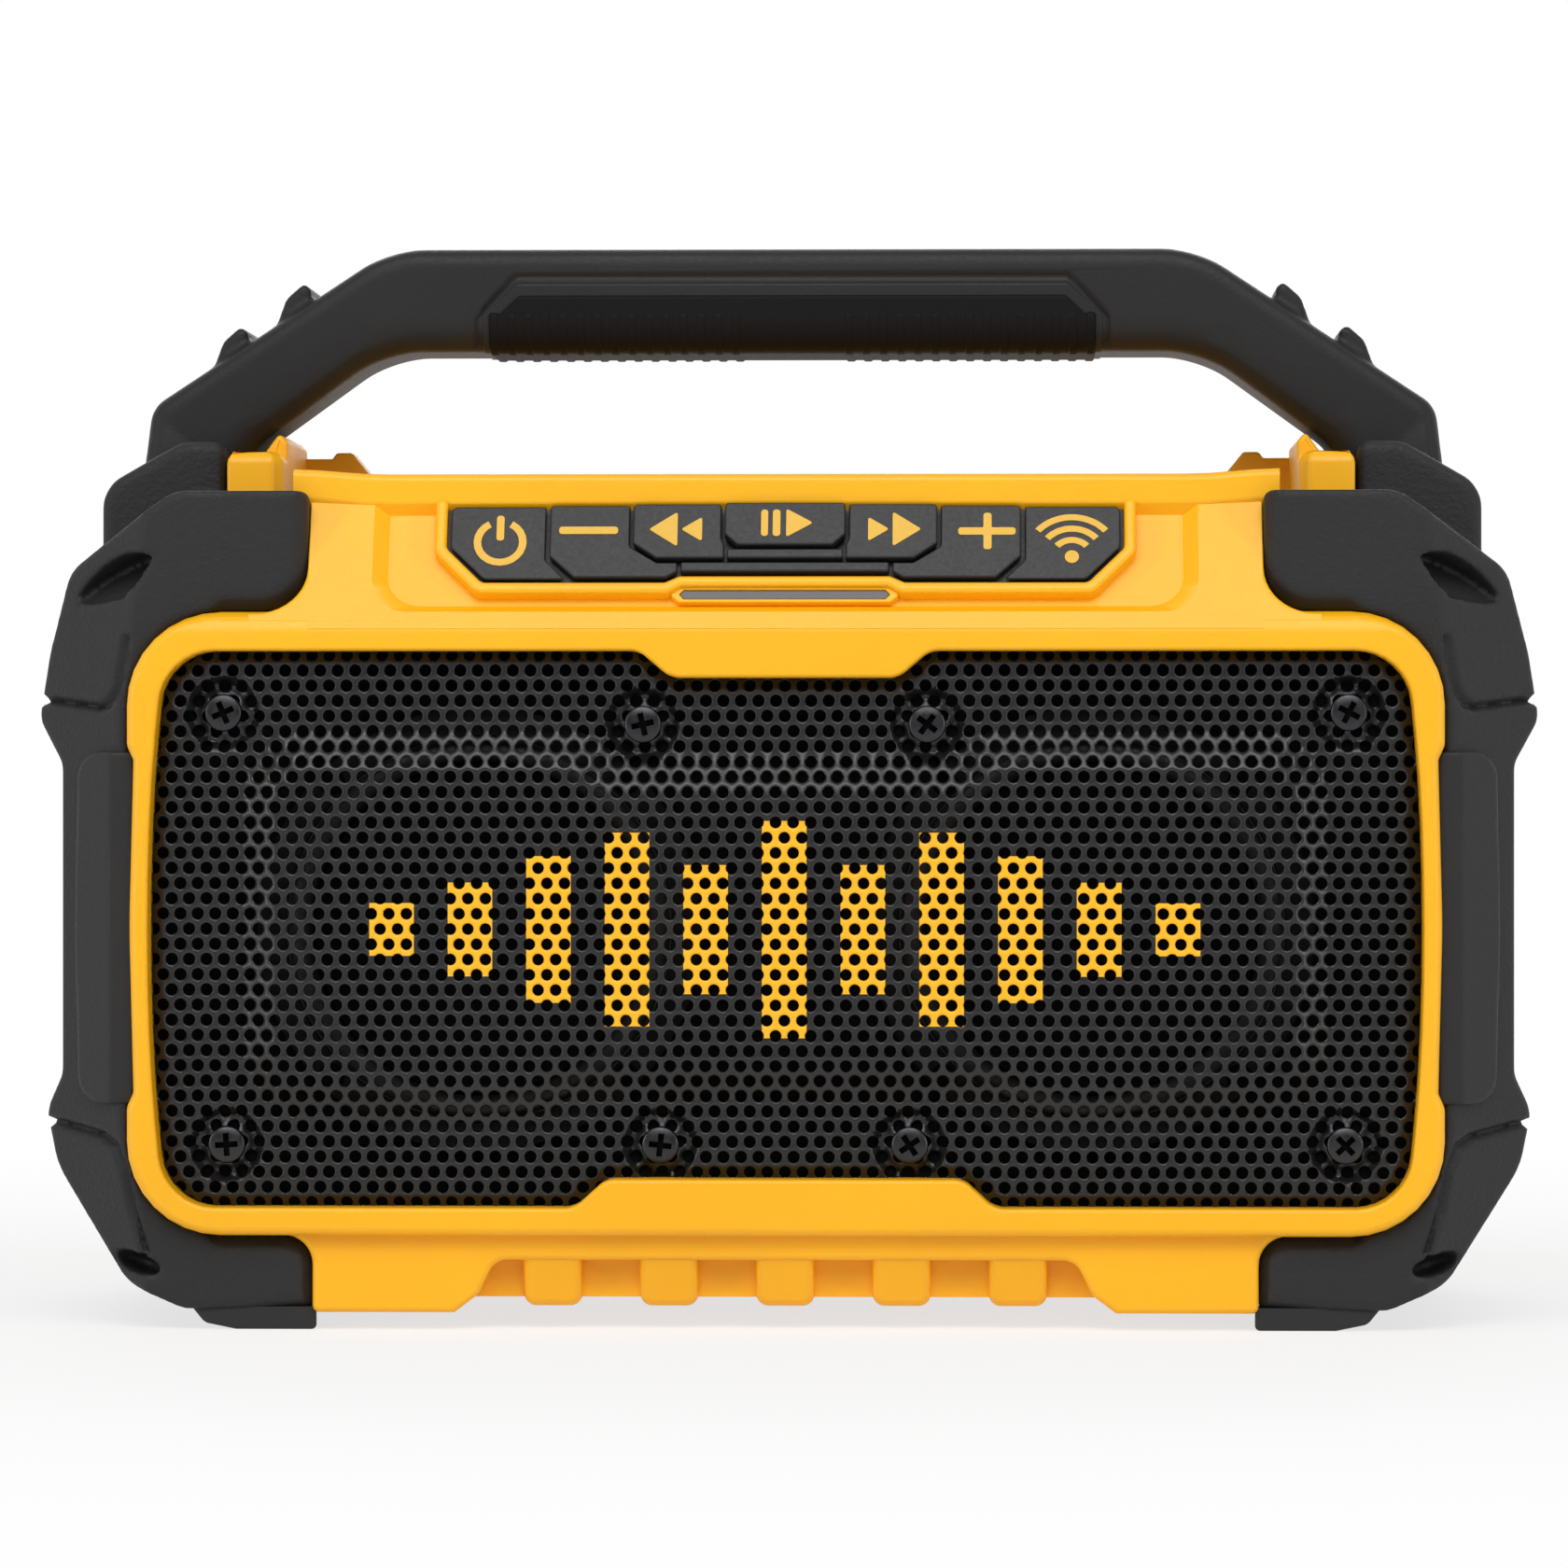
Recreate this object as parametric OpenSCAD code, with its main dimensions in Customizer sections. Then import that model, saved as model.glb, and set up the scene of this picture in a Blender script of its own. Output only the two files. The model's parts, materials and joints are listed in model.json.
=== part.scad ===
// Jobsite wireless speaker: moulded housing halves, corner bumpers, embossed grille, keypad and carrying handle.
// X runs to the right, Y from the front to the back, Z up. The origin is on the ground under the middle.

/* [Shell] */
// Width of the housing under the bumpers
shell_w = 242; // [230:1:256]
// Depth over the front and back walls of the housing
shell_d = 114; // [108:1:126]
// Height of the shoulders that carry the handle
shoulder_z = 137; // [134:0.5:139]
// Height of the tray floor on top
deck_z = 142; // [140.5:0.5:144]
// Height of the chin's lower edge
chin_z = 3; // [2:0.5:4]
// Wall thickness of both halves
wall = 3; // [2.4:0.1:3.6]
// Thickness of the wall that carries the drivers
front_wall = 4; // [3:0.5:5]
// Corner radius of the shell
shell_r = 16; // [14:1:18]
// Gap between pieces that seat on each other
seat = 0.15; // [0.1:0.05:0.3]

/* [Bezel and fascia] */
// How far the bezel stands in front of the front wall
bezel_proud = 8; // [7:0.5:10]
// Distance from the side of the shell in to the bezel
bezel_side = 8.7; // [7.5:0.1:10]
// Top of the bezel
bezel_top = 122.7; // [121:0.1:124]
// Bottom of the bezel
bezel_bottom = 16.3; // [15:0.1:17]
// Outer corner radius of the bezel
bezel_r = 16; // [12:1:20]
// Width of the bezel beside the opening, at mid height
rim_w = 3.5; // [3:0.1:5]
// Top edge of the grille opening
opening_top = 116; // [114:0.5:117]
// Bottom edge of the grille opening
opening_bottom = 21.1; // [20:0.1:23]
// How far the sides of the opening bow outwards
opening_bow = 2.9; // [1.5:0.1:4]
// Corner radius of the opening
opening_r = 9.5; // [7:0.5:11]
// Depth of the step in the middle of the opening's top edge
dip_h = 4.6; // [3:0.1:6]
// Width of that step
dip_w = 38.8; // [34:0.2:42]
// Height of the step in the middle of the opening's bottom edge
bump_h = 4.9; // [3:0.1:5]
// Width of that step
bump_w = 60.8; // [56:0.2:66]
// Angle of the sloped fascia from the ground
fascia_tilt = 64; // [62:0.5:66]
// Height at which the fascia starts to lean back
fascia_z = 119.8; // [119.3:0.1:120.2]
// Length of the fascia up its slope
fascia_l = 25.8; // [25.6:0.1:26.6]
// Thickness of the fascia
fascia_t = 2.6; // [2.2:0.1:2.8]
// Height of the lip in front of the tray
lip_h = 4.5; // [3:0.1:6]

/* [Grille] */
// Spacing of the perforation as modelled
hole_pitch = 7.5; // [7:0.1:12]
// Diameter of a perforation as modelled
hole_d = 5; // [3:0.1:5.5]
// Sheet thickness
sheet = 0.8; // [0.6:0.1:1]
// How far the sheet lies behind the bezel's face
grille_set = 4.5; // [4:0.1:5]
// Height of the embossed field
emboss_h = 3.2; // [2.4:0.1:3.6]
// Distance from the side of the opening to the embossed field
emboss_side = 21.5; // [18:0.5:25]
// Slope width around the embossed field
emboss_slope = 5; // [3:0.5:6]
// Diameter of the dish around a grille screw
dish_d = 12; // [10:0.5:13]
// Depth of that dish
dish_h = 1.2; // [0.8:0.1:1.4]

/* [Drivers] */
// Height of the drivers
driver_z = 68.5; // [66:0.5:71]
// Diameter of the driver frame
driver_d = 76; // [72:1:80]
// Depth of the driver behind its flange
driver_l = 40; // [38:1:44]
// Cone travel each way
cone_travel = 2; // [1:0.5:2]

/* [Keys] */
// Distance from the bumper plates in to the key panel
panel_side = 23.8; // [22:0.2:26]
// Lower edge of the key panel, measured up the fascia
panel_v0 = 8.7; // [8.4:0.1:9]
// Upper edge of the key panel, measured up the fascia
panel_v1 = 23.6; // [23.2:0.1:23.6]
// Border of the trim plate around the keys
trim_border = 0.9; // [0.8:0.1:1.2]
// Gap around each key
key_gap = 0.35; // [0.3:0.05:0.45]
// Travel of a key
key_travel = 0.8; // [0.5:0.1:0.9]
// Share of the key panel that the play key takes
play_share = 0.1817; // [0.16:0.001:0.2]
// Share of the key panel inside the outer edges of the track keys
track_share = 0.4654; // [0.44:0.001:0.49]
// Share of the key panel inside the outer edges of the volume keys
volume_share = 0.7093; // [0.68:0.001:0.73]

/* [Bumpers] */
// How far the bumpers stand out from each side of the shell
bumper_out = 8.5; // [7.5:0.1:11]
// Thickness of the bumper plates in front of the housing
plate_t = 4; // [3:0.5:5]
// Width of a bumper plate, from the side of the shell inwards
plate_w = 39.4; // [38:0.1:40.5]
// Top of the bumper plates
plate_top = 143.5; // [142.5:0.1:145]
// Height of the feet
foot_h = 3.4; // [3:0.1:4]
// Top of the shoulder arches
arch_top = 153.5; // [151:0.5:154]

/* [Handle] */
// Top of the handle
handle_top = 188; // [184:0.5:194]
// Height of the handle bar
bar_h = 19.4; // [18:0.2:21]
// Depth of the handle bar
bar_d = 30; // [27:0.5:33]
// Distance from the side of the shell in to the middle of a leg
leg_in = 14.5; // [14:0.1:15]
// Thickness of the legs
leg_t = 15.8; // [14:0.2:17]
// Width of the handle's legs at their bases
base_t = 19.6; // [18:0.2:20]
// Distance from the bends of the handle to the rubber grip
grip_in = 17.5; // [14:0.5:22]
// Thickness of the rubber grip
grip_t = 3; // [2.4:0.1:3.4]

/* [Battery bay and ports] */
// Width of the battery bay
bay_w = 86; // [82:1:92]
// Depth of the battery bay into the back
bay_d = 34; // [30:1:36]
// Floor of the battery bay
bay_z = 36; // [32:1:42]
// Width of the port recess
port_w = 38; // [34:1:40]
// Height of the port recess
port_h = 24; // [22:1:26]
// Radius of the hinge pin of the port cover
pin_r = 1; // [0.8:0.1:1.1]

/* [Hidden] */
$fn = 48;

yellow = [0.96, 0.70, 0.08];
black = [0.14, 0.14, 0.15];
rubber = [0.20, 0.20, 0.21];
grey = [0.33, 0.33, 0.34];
steel = [0.70, 0.70, 0.72];
brass = [0.75, 0.60, 0.30];
green = [0.10, 0.35, 0.20];

// Widths that follow the shell
bezel_w = shell_w - 2 * bezel_side;
opening_w = bezel_w - 2 * rim_w;
plate_x = shell_w / 2 - plate_w;
bumper_x = shell_w / 2 + bumper_out;
driver_gap = opening_w / 2 - 4;
emboss_w = opening_w - 2 * emboss_side;
panel_w = 2 * (plate_x - panel_side);
play_half = play_share * panel_w / 2;
track_edge = track_share * panel_w / 2;
volume_edge = volume_share * panel_w / 2;
leg_x = shell_w / 2 - leg_in;
bend_x = leg_x - 35;
grip_l = 2 * (bend_x - grip_in);

// Planes along Y
front_y = -shell_d / 2;
back_y = shell_d / 2;
bezel_y = front_y - bezel_proud;
rear_y = -bezel_y;
panel_y = rear_y - 2;
baffle_y = front_y + front_wall;
part_gap = 0.1;
arc_steps = 5;
min_r = 0.2;
big = 400;

// Rounded outlines, listed clockwise as [x, z, radius]
function xy(c) = [c[0], c[1]];
function unit(v) = v / norm(v);
function corner_arc(a, b, c, r) =
    let (u = unit(a - b), v = unit(c - b), half = acos(u * v) / 2,
         m = b + unit(u + v) * r / sin(half),
         p = b + u * r / tan(half) - m, q = b + v * r / tan(half) - m,
         a0 = atan2(p[1], p[0]), turn = atan2(q[1], q[0]) - a0,
         sweep = turn > 180 ? turn - 360 : turn < -180 ? turn + 360 : turn)
    [for (i = [0 : arc_steps]) m + r * [cos(a0 + sweep * i / arc_steps), sin(a0 + sweep * i / arc_steps)]];
function rounded(c) = let (n = len(c))
    [for (i = [0 : n - 1]) each c[i][2] == 0 ? [xy(c[i])]
        : corner_arc(xy(c[(i + n - 1) % n]), xy(c[i]), xy(c[(i + 1) % n]), c[i][2])];
function mirrored(c) = concat(c, [for (i = [len(c) - 1 : -1 : 0]) [-c[i][0], c[i][1], c[i][2]]]);
// Moves a list of corners inwards by d, and keeps their fillets concentric
function shift(c, d) = let (n = len(c))
    [for (i = [0 : n - 1])
        let (b = xy(c[i]), e = unit(b - xy(c[(i + n - 1) % n])), f = unit(xy(c[(i + 1) % n]) - b),
             p = b + d * ([e[1], -e[0]] + [f[1], -f[0]]) / (1 + e * f),
             turn = e[0] * f[1] - e[1] * f[0])
        [p[0], p[1], c[i][2] == 0 ? 0 : max(min_r, c[i][2] + (turn < 0 ? -d : d))]];
function inset(c, d) = rounded(shift(c, d));
function inside(p, q) = let (n = len(p))
    len([for (i = [0 : n - 1])
        let (a = p[i], b = p[(i + 1) % n])
        if ((a[1] > q[1]) != (b[1] > q[1]) && q[0] < (b[0] - a[0]) * (q[1] - a[1]) / (b[1] - a[1]) + a[0]) i]) % 2 == 1;

// Directions of extrusion
module front_extrude(y0, y1) translate([0, y1, 0]) rotate([90, 0, 0]) linear_extrude(y1 - y0) children();
module side_extrude(x0, x1) translate([x0, 0, 0]) rotate([90, 0, 90]) linear_extrude(x1 - x0) children();
module rod(x, z, y0, y1, r) translate([x, y0, z]) rotate([-90, 0, 0]) cylinder(h = y1 - y0, r = r);
module block(x0, x1, y0, y1, z0, z1) translate([x0, y0, z0]) cube([x1 - x0, y1 - y0, z1 - z0]);
module both() for (s = [0, 1]) mirror([s, 0, 0]) children();
module on_fascia() translate([0, bezel_y, fascia_z]) rotate([fascia_tilt, 0, 0]) children();
module fascia_extrude(w0, w1) on_fascia() translate([0, 0, w0]) linear_extrude(w1 - w0) children();

// Outlines seen from the front
chin_x = plate_x - 1;
low_z = foot_h + 4;
shell_pts = mirrored([[plate_x, deck_z, 1], [plate_x, shoulder_z, 1], [shell_w / 2, shoulder_z, shell_r],
    [shell_w / 2, low_z + 23.6, 8], [shell_w / 2 - 13, low_z + 4.6, 6], [shell_w / 2 - 23, low_z, 3],
    [chin_x, low_z, 1], [chin_x, chin_z, 1]]);
bezel_pts = mirrored([[bezel_w / 2, bezel_top, bezel_r], [bezel_w / 2, bezel_bottom, bezel_r]]);
opening_mid = (opening_top + opening_bottom) / 2;
opening_leg = (opening_top - opening_bottom) / 2;
bow_reach = 1.6 * opening_bow;
opening_x = opening_w / 2 - opening_bow;
ramp = 5.4;
opening_pts = mirrored([[dip_w / 2, opening_top - dip_h, 4], [dip_w / 2 + ramp, opening_top, 4],
    [opening_x, opening_top, opening_r],
    [opening_x + bow_reach, opening_mid, 0.7 * opening_leg * opening_leg / bow_reach],
    [opening_x, opening_bottom, opening_r], [bump_w / 2 + ramp, opening_bottom, 4],
    [bump_w / 2, opening_bottom + bump_h, 4]]);

// Front housing
lip_y = bezel_y + fascia_l * cos(fascia_tilt);
fascia_top = fascia_z + fascia_l * sin(fascia_tilt);
lip_t = 3.6;
lip_top = deck_z + lip_h;
lug_x0 = plate_x + 2.6;
lug_x1 = plate_x + 17.1;
lug_y = 29;
lug_t = 10.4;
lug_top = 151.6;
cheek_x1 = leg_x - base_t / 2 - 0.3;
cheek_y = 12;
cheek_top = 155.4;
board_w = panel_w + 14.4;
board_v0 = panel_v0 - 3.7;
board_v1 = panel_v1;
board_top = 7;
board_t = 1.6;
post_x = board_w / 2 - 2.5;
post_v = [panel_v0 + 1.9, panel_v0 + 10.9];
post_r = 2.4;
key_screw_r = 1;
tooth_count = 5;
arch_half = chin_x - 24.3;
tooth_pitch = (2 * arch_half - 13.1) / tooth_count;
tooth_w = tooth_pitch / 2;
arch_y = front_y + 1.5;
chin_y = front_y - 4.5;
case_x = shell_w / 2 - 21;
case_z = [29, 110];
case_r = 2;
boss_r = 4.6;
grille_screw_at = [[opening_x - 9.7, opening_top - 10.5], [dip_w / 2 + 4.9, opening_top - 12.5],
    [opening_x - 10.3, opening_bottom + 10.5], [bump_w / 2 - 9.1, opening_bottom + 10.5]];
grille_screw_r = 1.5;
grille_boss_r = 3.6;
grille_y = bezel_y + grille_set;
dish_y = grille_y + dish_h;
driver_hole_r = driver_d / 2 - 4;
driver_screw_at = driver_d / 2 - 2.4;
driver_screw_r = 1.4;
seal_in = 0.8;
seal_w = 1.2;
seal_h = 1;
handle_screw_r = 2;
handle_screw_x = leg_x - 3;
handle_screw_y = 9;

module shell_tub(y0, y1, wall0, wall1) difference() {
    front_extrude(y0, y1) polygon(rounded(shell_pts));
    front_extrude(y0 + wall0, y1 - wall1) polygon(inset(shell_pts, wall));
}
module handle_screw_places() both() for (s = [-1, 1]) translate([handle_screw_x, s * handle_screw_y, 0]) children();
module case_screw_places() both() for (z = case_z) translate([case_x, 0, z]) children();
module grille_screw_places() both() for (p = grille_screw_at) translate([p[0], 0, p[1]]) children();
module driver_places(side) translate([side * driver_gap / 2, front_y, driver_z]) children();
module arch_cut() front_extrude(bezel_y - 1, arch_y)
    polygon(rounded(mirrored([[arch_half - 12.3, chin_z + 8.8, 4], [arch_half - 3.4, chin_z + 2.9, 2], [arch_half, chin_z - 2, 0]])));
module chin_teeth() for (i = [0 : tooth_count - 1])
    translate([(i - (tooth_count - 1) / 2) * tooth_pitch, 0, 0]) front_extrude(chin_y + 1, arch_y)
        polygon(rounded(mirrored([[tooth_w / 2, chin_z + 9.4, 0], [tooth_w / 2, chin_z + 1.4, 1.6]])));
module lug() {
    side_extrude(lug_x0, lug_x1) polygon(rounded([[-lug_y + lug_t, shoulder_z - 1, 0], [-lug_y, shoulder_z - 1, 0],
        [-lug_y, lug_top - 3, 2], [-lug_y + 3, lug_top, 2], [-lug_y + lug_t, lug_top, 0]]));
    intersection() {
        side_extrude(lug_x0, cheek_x1) polygon(rounded([[-part_gap, shoulder_z - 1, 0], [-lug_y + 2, shoulder_z - 1, 0],
            [-lug_y + 2, lug_top - 1, 0], [-lug_y + lug_t, lug_top, 1], [-cheek_y, cheek_top, 2], [-part_gap, cheek_top, 0]]));
        front_extrude(-lug_y, 0) polygon(rounded([[lug_x0, shoulder_z - 1, 0], [lug_x0, cheek_top - 1.5, 1],
            [lug_x0 + 4, cheek_top, 1], [cheek_x1, cheek_top - 4.8, 0], [cheek_x1, shoulder_z - 1, 0]]));
    }
}
module fascia_body() {
    side_extrude(-plate_x + seat, plate_x - seat) polygon([[front_y, opening_top], [bezel_y, opening_top], [bezel_y, fascia_z],
        [lip_y, fascia_top], [lip_y + lip_t, fascia_top], [baffle_y, opening_top]]);
    side_extrude(-plate_x + seat, plate_x - seat)
        polygon(rounded([[lip_y - 1, deck_z - 0.5, 0], [lip_y - 1, lip_top, 1], [lip_y + lip_t, lip_top, 1],
            [lip_y + lip_t, deck_z - 2, 0], [lip_y, deck_z - 2, 0]]));
}
module front_of_fascia() on_fascia() translate([-plate_x, 0, 0]) cube([2 * plate_x, fascia_l - 1.2, 30]);

module front_housing() color(yellow) difference() {
    union() {
        difference() {
            union() {
                shell_tub(front_y, 0, front_wall, -1);
                front_extrude(bezel_y, front_y + 1) polygon(rounded(bezel_pts));
                fascia_body();
                front_extrude(chin_y, front_y + 1)
                    polygon(rounded(mirrored([[chin_x, bezel_bottom + 2, 0], [chin_x, chin_z, 1]])));
            }
            front_of_fascia();
            front_extrude(bezel_y - 1, front_y) polygon(rounded(opening_pts));
            arch_cut();
        }
        chin_teeth();
        both() lug();
        fascia_extrude(-0.5, 1) difference() {
            polygon(inset(panel_pts, -2));
            polygon(inset(panel_pts, -seat));
        }
        grille_screw_places() rod(0, 0, dish_y + sheet + seat, front_y + 1, grille_boss_r);
        case_screw_places() rod(0, 0, baffle_y - 1, 0, boss_r);
    }
    key_cavity();
    for (side = [-1, 1]) driver_places(side) {
        rod(0, 0, -1, front_wall + 1, driver_hole_r);
        for (a = [45 : 90 : 315]) rotate([0, a, 0]) rod(driver_screw_at, 0, -1, front_wall + 1, driver_screw_r + 0.05);
    }
    grille_screw_places() rod(0, 0, dish_y, front_y + front_wall - 0.6, grille_screw_r + 0.05);
    case_screw_places() rod(0, 0, -24, 1, case_r + 0.05);
    front_extrude(-seal_h, 1) difference() {
        polygon(inset(shell_pts, seal_in));
        polygon(inset(shell_pts, seal_in + seal_w + 2 * seat));
    }
    handle_screw_places() cylinder(h = shoulder_z + 1, r = handle_screw_r + seat);
}

module housing_seal() color(black) front_extrude(-seal_h + seat, -seat + part_gap) difference() {
    polygon(inset(shell_pts, seal_in + seat));
    polygon(inset(shell_pts, seal_in + seat + seal_w));
}

// Grille
emboss_low = 42.2;
emboss_high = 96;
emboss_step = 4;
field_pts = mirrored([[31, emboss_high - emboss_step, 3], [36, emboss_high, 3],
    [emboss_w / 2, emboss_high, 6], [emboss_w / 2, emboss_low, 6],
    [44, emboss_low, 3], [39, emboss_low + emboss_step, 3]]);
foot_pts = shift(field_pts, -emboss_slope);
lap = 0.05;
slope_in = rounded(shift(field_pts, lap));
slope_out = rounded(shift(foot_pts, -lap));
rim_pts = shift(opening_pts, 0.4);
hole_room = hole_d / 2 + 0.7;
row_h = hole_pitch * sin(60);
hole_at = [for (j = [-9 : 9], i = [-19 : 19]) [(i + (j % 2 == 0 ? 0 : 0.5)) * hole_pitch, opening_mid + j * row_h]];
field_room = inset(field_pts, hole_room);
rim_room = inset(rim_pts, hole_room + sheet);
foot_room = inset(foot_pts, -hole_room);
function near_screw(q) = min([for (p = grille_screw_at, s = [-1, 1]) norm([s * p[0], p[1]] - q)]) < dish_d / 2 + hole_room;
field_holes = [for (q = hole_at) if (inside(field_room, q)) q];
rim_holes = [for (q = hole_at) if (inside(rim_room, q) && !inside(foot_room, q) && !near_screw(q)) q];
module holes(list) for (q = list) translate(q) circle(d = hole_d);
// A closed skin through rings of equal count, joined from the last ring back to the first
module ring_skin(rings) {
    n = len(rings[0]);
    m = len(rings);
    polyhedron([for (r = rings) each r],
        [for (k = [0 : m - 1], i = [0 : n - 1])
            let (a = k * n + i, b = k * n + (i + 1) % n, c = (k + 1) % m * n + (i + 1) % n, d = (k + 1) % m * n + i)
            each [[a, c, b], [a, d, c]]]);
}
function at_y(p, y) = [for (q = p) [q[0], y, q[1]]];
module speaker_grille() color(black) {
    field_y = grille_y - emboss_h;
    front_extrude(field_y, field_y + sheet) difference() {
        polygon(rounded(field_pts));
        holes(field_holes);
    }
    ring_skin([at_y(slope_in, field_y), at_y(slope_out, grille_y),
        at_y(slope_out, grille_y + sheet), at_y(slope_in, field_y + sheet)]);
    front_extrude(grille_y, grille_y + sheet) difference() {
        polygon(rounded(rim_pts));
        polygon(rounded(foot_pts));
        holes(rim_holes);
        both() for (p = grille_screw_at) translate(p) circle(d = dish_d - 2 * sheet);
    }
    front_extrude(grille_y, grille_y + 2.4) difference() {
        polygon(rounded(rim_pts));
        polygon(inset(rim_pts, sheet));
    }
    grille_screw_places() difference() {
        rod(0, 0, grille_y, dish_y + sheet, dish_d / 2);
        rod(0, 0, grille_y - 1, dish_y, dish_d / 2 - sheet);
        rod(0, 0, grille_y, dish_y + 2, grille_screw_r + 0.2);
    }
}
// Pan head screw along Y, with its head's seat at y = 0 and its head towards the front
module pan_screw(r, head_r, head_h, len) {
    rotate([-90, 0, 0]) cylinder(h = len, r = r);
    difference() {
        rotate([90, 0, 0]) cylinder(h = head_h, r1 = head_r, r2 = head_r * 0.72);
        for (a = [0, 90]) rotate([0, a, 0]) block(-head_r * 0.5, head_r * 0.5, -head_h - 1, -head_h * 0.45, -0.4, 0.4);
    }
}
module grille_screws() color(grey) grille_screw_places() translate([0, dish_y, 0])
    pan_screw(grille_screw_r, 2.95, 1.9, front_y + front_wall - 1 - dish_y);

// Drivers, around an axis along Y with the flange's seat at y = 0
basket_r = driver_hole_r - 0.3;
surround_r = driver_hole_r - 0.8;
cone_r = surround_r - 5;
coil_r = 10;
flange_t = 1.6;
magnet_l = 14;
magnet_r = driver_d / 2 - 10;
gap_y = driver_l - magnet_l;
coil_end = gap_y + 4;
groove_y = coil_end + cone_travel + 4;
module revolve_y() rotate([-90, 0, 0]) rotate_extrude() children();
module driver_frame() color(grey) difference() {
    revolve_y() polygon([[surround_r, -seat - flange_t], [driver_d / 2, -seat - flange_t], [driver_d / 2, -seat],
        [basket_r, -seat], [basket_r, 8], [magnet_r, gap_y], [coil_r + 4, gap_y], [coil_r + 4, gap_y - 1.6],
        [magnet_r - 1.2, gap_y - 1.6], [surround_r, 7.4]]);
    for (a = [45 : 90 : 315]) rotate([0, a, 0]) rod(driver_screw_at, 0, -flange_t - 1, 1, driver_screw_r + 0.1);
    for (a = [0 : 60 : 300]) rotate([0, a, 0]) block(coil_r + 7, driver_d, 9.5, gap_y - 3, -6, 6);
}
module driver_magnet() color(steel) {
    revolve_y() polygon([[coil_r + 0.8, gap_y + seat], [magnet_r, gap_y + seat], [magnet_r, driver_l], [0, driver_l],
        [0, gap_y - 2], [coil_r - 1.6, gap_y - 2], [coil_r - 1.6, groove_y], [coil_r + 0.8, groove_y]]);
}
module driver_surround() color(black) revolve_y() difference() {
    union() {
        translate([(cone_r + surround_r) / 2, -0.4]) circle(r = (surround_r - cone_r) / 2 - 0.35);
        translate([surround_r - 1.4, -1.2]) square([1.4 - seat, 1.2 - seat]);
    }
    translate([(cone_r + surround_r) / 2, -0.4]) circle(r = (surround_r - cone_r) / 2 - 1.15);
    translate([0, -0.4]) square([surround_r - 1.4, 10]);
}
module driver_cone() color(black) revolve_y()
    polygon(concat([[cone_r, -0.4], [cone_r, 0.4], [coil_r, 10], [coil_r, coil_end], [coil_r - 0.6, coil_end],
        [coil_r - 0.6, 9]], [for (a = [60 : 10 : 90]) [18 * cos(a), 24 - 18 * sin(a)]],
        [for (a = [90 : -10 : 60]) [18.8 * cos(a), 24 - 18.8 * sin(a)]], [[coil_r, 8.2]]));
module driver_screws() color(steel) for (side = [-1, 1]) driver_places(side) for (a = [45 : 90 : 315])
    rotate([0, a, 0]) translate([driver_screw_at, -flange_t - 2 * seat, 0])
        pan_screw(driver_screw_r, 2.2, 0.6, flange_t + front_wall);

// Keypad, drawn on the fascia: u across, v up the slope
lens_half = 18;
panel_pts = mirrored([[panel_w / 2, panel_v1, 1], [panel_w / 2, panel_v0 + 6.5, 1.5], [panel_w / 2 - 6.2, panel_v0, 1.5],
    [lens_half + 2.5, panel_v0, 1], [lens_half, panel_v0 + 1.2, 1]]);
volume_v0 = panel_v0 + 2.3;
track_v0 = panel_v0 + 4.5;
play_v0 = panel_v0 + 6.7;
stem_v = panel_v0 + 9.5;
key_v1 = panel_v1 - trim_border;
power_edge = panel_w / 2 - trim_border;
keys_pts = mirrored([[power_edge, key_v1, 0.8], [power_edge, panel_v0 + 6.9, 0.8], [power_edge - 5.5, panel_v0 + trim_border, 0.8],
    [volume_edge, panel_v0 + trim_border, 0.4], [volume_edge - 0.01, panel_v0 + 4.9, 0.4], [volume_edge - 3, volume_v0, 0.5],
    [track_edge, volume_v0, 0.4], [track_edge - 0.01, panel_v0 + 6.9, 0.4], [track_edge - 3, track_v0, 0.5],
    [play_half, track_v0, 0.4], [play_half - 0.01, panel_v0 + 8.5, 0.4], [play_half - 2, play_v0, 0.5]]);
keys_back = -fascia_t - key_gap;
flange_w = 1.2;
flange_v = 0.8;
stem_w = board_top - 0.5 - 0.3 - key_travel;
function slot(x0, x1) = [[x0 + key_gap, -100], [x0 + key_gap, 100], [x1 - key_gap, 100], [x1 - key_gap, -100]];
module key_area(x0, x1) intersection() {
    polygon(inset(keys_pts, key_gap));
    polygon(slot(x0, x1));
}
module key_cap(x0, x1, rise, v0) {
    mid = (x0 + x1) / 2;
    fascia_extrude(keys_back - flange_w / 2, rise) key_area(x0, x1);
    fascia_extrude(keys_back - flange_w, keys_back) intersection() {
        polygon(slot(x0, x1));
        translate([x0, v0 + 1.5]) square([x1 - x0, key_v1 + flange_v - v0 - 1.5]);
    }
    on_fascia() translate([mid, stem_v, -stem_w]) cylinder(h = stem_w + keys_back, r = 2);
}
module keypad_trim() color(black) fascia_extrude(-1.2 + seat, 0.3) difference() {
    polygon(rounded(panel_pts));
    polygon(rounded(keys_pts));
}
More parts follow.
